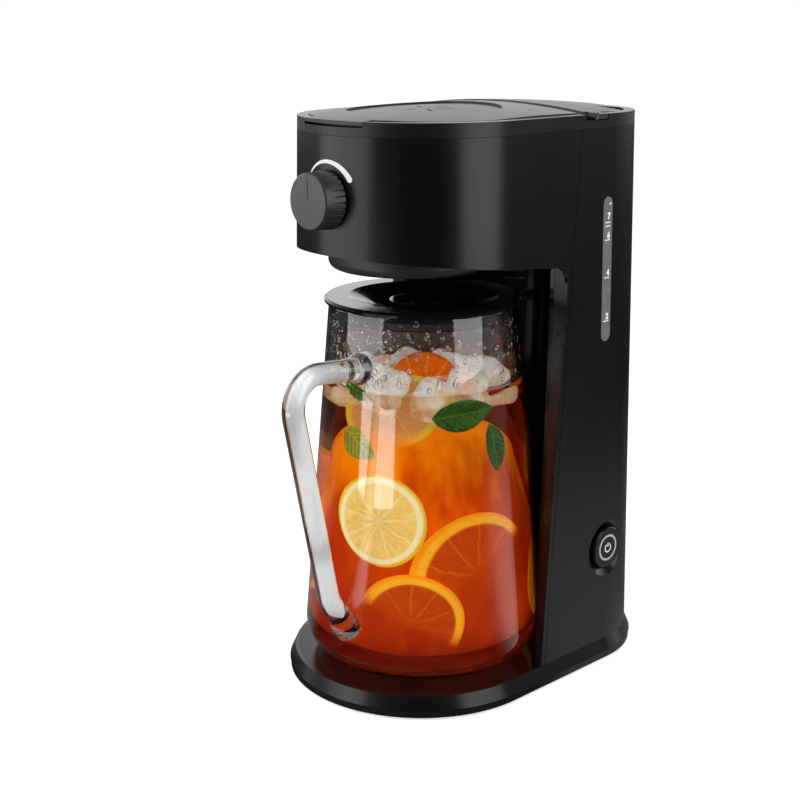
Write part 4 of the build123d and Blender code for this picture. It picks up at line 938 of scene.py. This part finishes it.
# ---------------------------------------------------------------- drops inside the glass
def make_drops():
    """Drops of condensation above the tea, most of them small and some drawn out downwards."""
    random = Random(7)
    count, lowest, zone = 600, 3, 44
    rings, steps, flatness = 5, 10, 0.45
    points, faces = [], []
    for _ in range(count):
        turn = random.random() * 2 * pi
        z = TEA_Z + lowest + zone * random.random()
        size = 0.5 + 1.4 * random.random() ** 2.2
        tall = size * (1.0 + (1.4 * random.random() if random.random() < 0.3 else 0.25))
        out = Vector((cos(turn), sin(turn), 0))
        side, up = Vector((-sin(turn), cos(turn), 0)), Vector((0, 0, 1))
        reach = jug_r(z, WALL) + spout_swell(turn, 0, z) + 0.05
        middle = world(AXIS[0], AXIS[1], z) + out * reach * MM
        faces += tube(len(points), rings + 1, steps, flip=True)
        for a, b in ball(rings, steps):
            wide = side * sin(a) * cos(b) * size
            spot = wide + up * cos(a) * tall + out * sin(a) * sin(b) * size * flatness
            points.append(middle + spot * MM)
    return points, faces


water = clear("water_drops", (0.99, 0.99, 0.99), 1.333, (0.97, 0.97, 0.97), 0.0, 2e-5, 300.0)
piece("condensation", *make_drops(), water, "jug")

# ---------------------------------------------------------------- the drip valve's spring
VALVE_LIFT, WIRE_R, TURNS, TURN_STEPS = 3.0, 0.45, 4, 48
low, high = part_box("drip_valve_spring")
middle = (low + high) / 2
coil_r = (high.x - low.x) / 2 - WIRE_R * MM
climb = high.z - low.z - 2 * WIRE_R * MM
places = []
for i in range(TURNS * TURN_STEPS + 1):
    turn = 2 * pi * i / TURN_STEPS
    rise = low.z + WIRE_R * MM + climb * i / (TURNS * TURN_STEPS)
    places.append(Vector((middle.x + coil_r * cos(turn), middle.y + coil_r * sin(turn), rise)))
coil = sweep(places, [WIRE_R * MM] * len(places), 12)
spring = piece("valve_spring_coil", *coil, steel, "housing")
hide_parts("drip_valve_spring")
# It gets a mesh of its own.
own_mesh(spring)

# ---------------------------------------------------------------- printed marks
# How far the marks stand proud of their surfaces.
INK = 0.06
DOT_STEPS = 24
DRUM_Y = -37


def wall_x(z):
    """Half width of the leaning housing at height z."""
    foot_x, foot_z, lean = 86.2, 15.4, 0.021823
    return foot_x - (z - foot_z) * lean


def on_drum(x, z, out):
    """A place on the brewing head's round front."""
    return world(x, DRUM_Y - sqrt(wall_x(z) ** 2 - x**2) - out, z)


def bar(u1, v1, u2, v2, width, place, depth=INK):
    """A straight printed bar, laid on a surface."""
    parts = 6
    line = [(u1 + (u2 - u1) * i / parts, v1 + (v2 - v1) * i / parts) for i in range(parts + 1)]
    return strip(line, [width] * (parts + 1), place, depth)


def dot(u, v, radius, place, depth=INK):
    """A round printed dot."""
    edge = [(u + radius * cos(t), v + radius * sin(t)) for t in whole_turn(DOT_STEPS)]
    return slab(edge, place, depth)


def digit(text, size, u, v, place):
    """A printed number, with its middle at (u, v) on a surface."""
    curve = bpy.data.curves.new("digit", "FONT")
    curve.body, curve.size, curve.align_x, curve.align_y = text, size, "CENTER", "CENTER"
    curve.extrude, curve.offset = 0.5, 0.05 * size
    shown = bpy.data.objects.new("digit", curve)
    scene.collection.objects.link(shown)
    bpy.context.view_layer.update()
    solid = shown.evaluated_get(bpy.context.evaluated_depsgraph_get())
    data = bpy.data.meshes.new_from_object(solid)
    points = [place(u + p.co.x, v + p.co.y, INK * (p.co.z + 0.5)) for p in data.vertices]
    faces = [tuple(f.vertices) for f in data.polygons]
    bpy.data.objects.remove(shown)
    bpy.data.curves.remove(curve)
    bpy.data.meshes.remove(data)
    return points, faces


low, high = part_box("level_window")
window_out = high.x / MM - wall_x(low.z / MM)


def on_window(y, z, out):
    """A place on the level window, which leans with the housing's side."""
    return world(wall_x(z) + out + window_out, y, z)


TICK_START, TICK_END, TICK_WIDTH = 50.9, 56.1, 0.75
DIGIT_Y, DIGIT_SIZE = 54.6, 5.6
marks = []
for z in (305.8, 303.4, 294.4, 269.8, 241.0):
    marks.append(bar(TICK_START, z, TICK_END, z, TICK_WIDTH, on_window))
for text, z in (("7", 309.7), ("6", 297.3), ("4", 272.9), ("2", 244.0)):
    marks.append(digit(text, DIGIT_SIZE, DIGIT_Y, z, on_window))
marks.append(dot(55.8, 317.8, 0.8, on_window))
piece("level_marks", *join(*marks), ink_white, "housing", smooth=False)

# The strength mark round the knob grows wider clockwise and ends round.
KNOB_Z, MARK_R, MARK_TURN, MARK_STEPS = 329.0, 21.8, 112, 60
THIN, GROWTH, TIP_PROUD = 0.5, 3.1, 0.055
turns = [radians(-MARK_TURN / 2 + MARK_TURN * i / MARK_STEPS) for i in range(MARK_STEPS + 1)]
line = [(MARK_R * sin(t), KNOB_Z + MARK_R * cos(t)) for t in turns]
widths = [THIN + GROWTH * (i / MARK_STEPS) ** 0.8 for i in range(MARK_STEPS + 1)]
tip = dot(*line[-1], widths[-1] / 2, on_drum, TIP_PROUD)
crescent = join(strip(line, widths, on_drum, INK), tip)
piece("strength_mark", *crescent, ink_white, "housing", smooth=False)

low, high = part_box("strength_knob")
knob_face = low.y
pointer_z = (low.z + high.z) / 2 / MM


def on_knob(x, z, out):
    """A place on the knob's front face."""
    return Vector((x * MM, knob_face - out * MM, z * MM))


pointer = bar(0, pointer_z + 1.5, 0, pointer_z + 13.5, 0.9, on_knob, 0.05)
piece("knob_pointer", *pointer, ink_dark, "knob", smooth=False)

low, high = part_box("power_button")
button_x, button_y, button_z = high.x, (low.y + high.y) / 2, (low.z + high.z) / 2


def on_button(y, z, out):
    """A place on the button's face, from its middle."""
    return Vector((button_x + out * MM, button_y + y * MM, button_z + z * MM))


SYMBOL_R, SYMBOL_LINE, SYMBOL_GAP, SYMBOL_STEPS = 2.9, 0.9, 64, 48
TOP = 90 + SYMBOL_GAP / 2
turns = [radians(TOP + (360 - SYMBOL_GAP) * i / SYMBOL_STEPS) for i in range(SYMBOL_STEPS + 1)]
ring = [(SYMBOL_R * cos(t), SYMBOL_R * sin(t) - 0.2) for t in turns]
ring = strip(ring, [SYMBOL_LINE] * len(turns), on_button, INK)
symbol = join(ring, bar(0, 0.6, 0, 3.6, SYMBOL_LINE, on_button))
piece("power_symbol", *symbol, ink_white, "button", smooth=False)


# ---------------------------------------------------------------- floor and light
def make_floor():
    """A pale floor. It shows white, keeps the object's shadow, and is darker to a mirror further
    out."""
    made, tree, shader, coords = start("floor")
    middle_y = -0.02
    plain, darker, brighter = 0.17, 0.155, 0.26
    path = add(tree, "LightPath").outputs
    x, y, _ = add(tree, "SeparateXYZ", {"Vector": coords}).outputs
    y = plus(tree, y, -middle_y)
    reach = reach_of(tree, x, y)
    turn = calc(tree, "ARCTAN2", x, times(tree, y, -1.0))
    grain = patch(tree, coords, 900.0, 2.0)
    fill(tree, shader, {
        "Base Color": mix(tree, grain, (0.80, 0.80, 0.80), (0.84, 0.84, 0.84)),
        "Roughness": 0.7, "Specular IOR Level": 0.0})

    def sector(middle, inside, outside):
        """One within an angle of a direction, and softly down to nought outside it."""
        off = calc(tree, "ABSOLUTE", minus(tree, turn, radians(middle)))
        return span(tree, off, radians(inside), radians(outside), 1, 0, smooth=True)

    # What a mirror sees of the floor: dark ahead, bright by the tower's right side, and dim behind
    # and to the left.
    near = span(tree, reach, 0.18, 1.0, 1.0, 0.2, smooth=True)
    level = minus(tree, plain, times(tree, sector(30, 80, 100), darker))
    level = plus(tree, level, times(tree, sector(134, 8, 30), brighter))
    shine = times(tree, near, level)
    glow = add(tree, "Emission", {"Color": (1, 1, 1, 1), "Strength": shine})
    seen = calc(tree, "MAXIMUM", path["Is Camera Ray"], path["Is Transmission Ray"])
    white = add(tree, "Emission", {"Color": (1, 1, 1, 1), "Strength": times(tree, seen, 0.64)})
    lit = add(tree, "AddShader", {0: shader.outputs[0], 1: white.outputs[0]})
    show(tree, blend(tree, path["Is Glossy Ray"], lit.outputs[0], glow.outputs[0]))
    return made


FIRST_RING, RING_GROWTH, RINGS = 0.12, 1.22, 24
rings = [0.0] + [FIRST_RING * RING_GROWTH**i for i in range(RINGS)]
floor = piece("floor", *lathe([(r / MM, 0) for r in rings], 96, (0, 0)), make_floor(), None)

# The sky is plain white to the eye, soft grey to the object, and brighter behind it to a mirror.
world_light = bpy.data.worlds.new("studio")
scene.world = world_light
world_light.use_nodes = True
tree = world_light.node_tree
path = add(tree, "LightPath").outputs
x, y, z = add(tree, "SeparateXYZ", {"Vector": add(tree, "TexCoord").outputs["Generated"]}).outputs
STOPS = ((0.0, 0.75), (0.25, 1), (0.5, 0.45), (1.0, 0.1))
rise = ramp(tree, z, [(stop, (level, level, level)) for stop, level in STOPS])
behind = plus(tree, times(tree, x, -0.69), times(tree, y, 0.725))
strong = span(tree, behind, -0.1, 0.6, 0.06, 1.7, smooth=True)
soft, white = (0.50, 0.50, 0.50), (1.0, 1.0, 1.0)
colour = mix(tree, path["Is Glossy Ray"], soft, scaled(tree, rise, strong))
seen = calc(tree, "MAXIMUM", path["Is Camera Ray"], path["Is Transmission Ray"])
fill(tree, tree.nodes["Background"], {"Color": mix(tree, seen, colour, white)})


def softbox(name, place, aim, width, height, glow):
    """A soft rectangular lamp aimed at a place. Glow is how bright its face is."""
    lamp = bpy.data.lights.new(name, "AREA")
    lamp.shape, lamp.size, lamp.size_y = "RECTANGLE", width, height
    lamp.energy = glow * pi * width * height
    made = bpy.data.objects.new(name, lamp)
    made.location = place
    made.rotation_euler = (Vector(aim) - Vector(place)).to_track_quat("-Z", "Y").to_euler()
    made.visible_camera = made.visible_transmission = False
    scene.collection.objects.link(made)


# Three stand round what they aim at, at an angle from straight ahead towards the right side.
LAMP_REACH = 0.62
for name, turn, z, aim, width, height, glow in (
    ("softbox_left", -29, 0.52, (0.01, -0.09, 0.34), 0.74, 0.80, 1.7),
    ("softbox_right", 101, 0.52, (0.07, -0.04, 0.34), 0.50, 0.80, 1.9),
    ("softbox_low", -5, 0.065, (0.02, -0.09, 0.07), 0.50, 0.11, 3.0),
):
    out = radians(turn)
    place = (aim[0] + LAMP_REACH * sin(out), aim[1] - LAMP_REACH * cos(out), z)
    softbox(name, place, aim, width, height, glow)
softbox("softbox_top", (0.0, -0.25, 1.35), (0, 0, 0.2), 0.9, 0.9, 1.6)
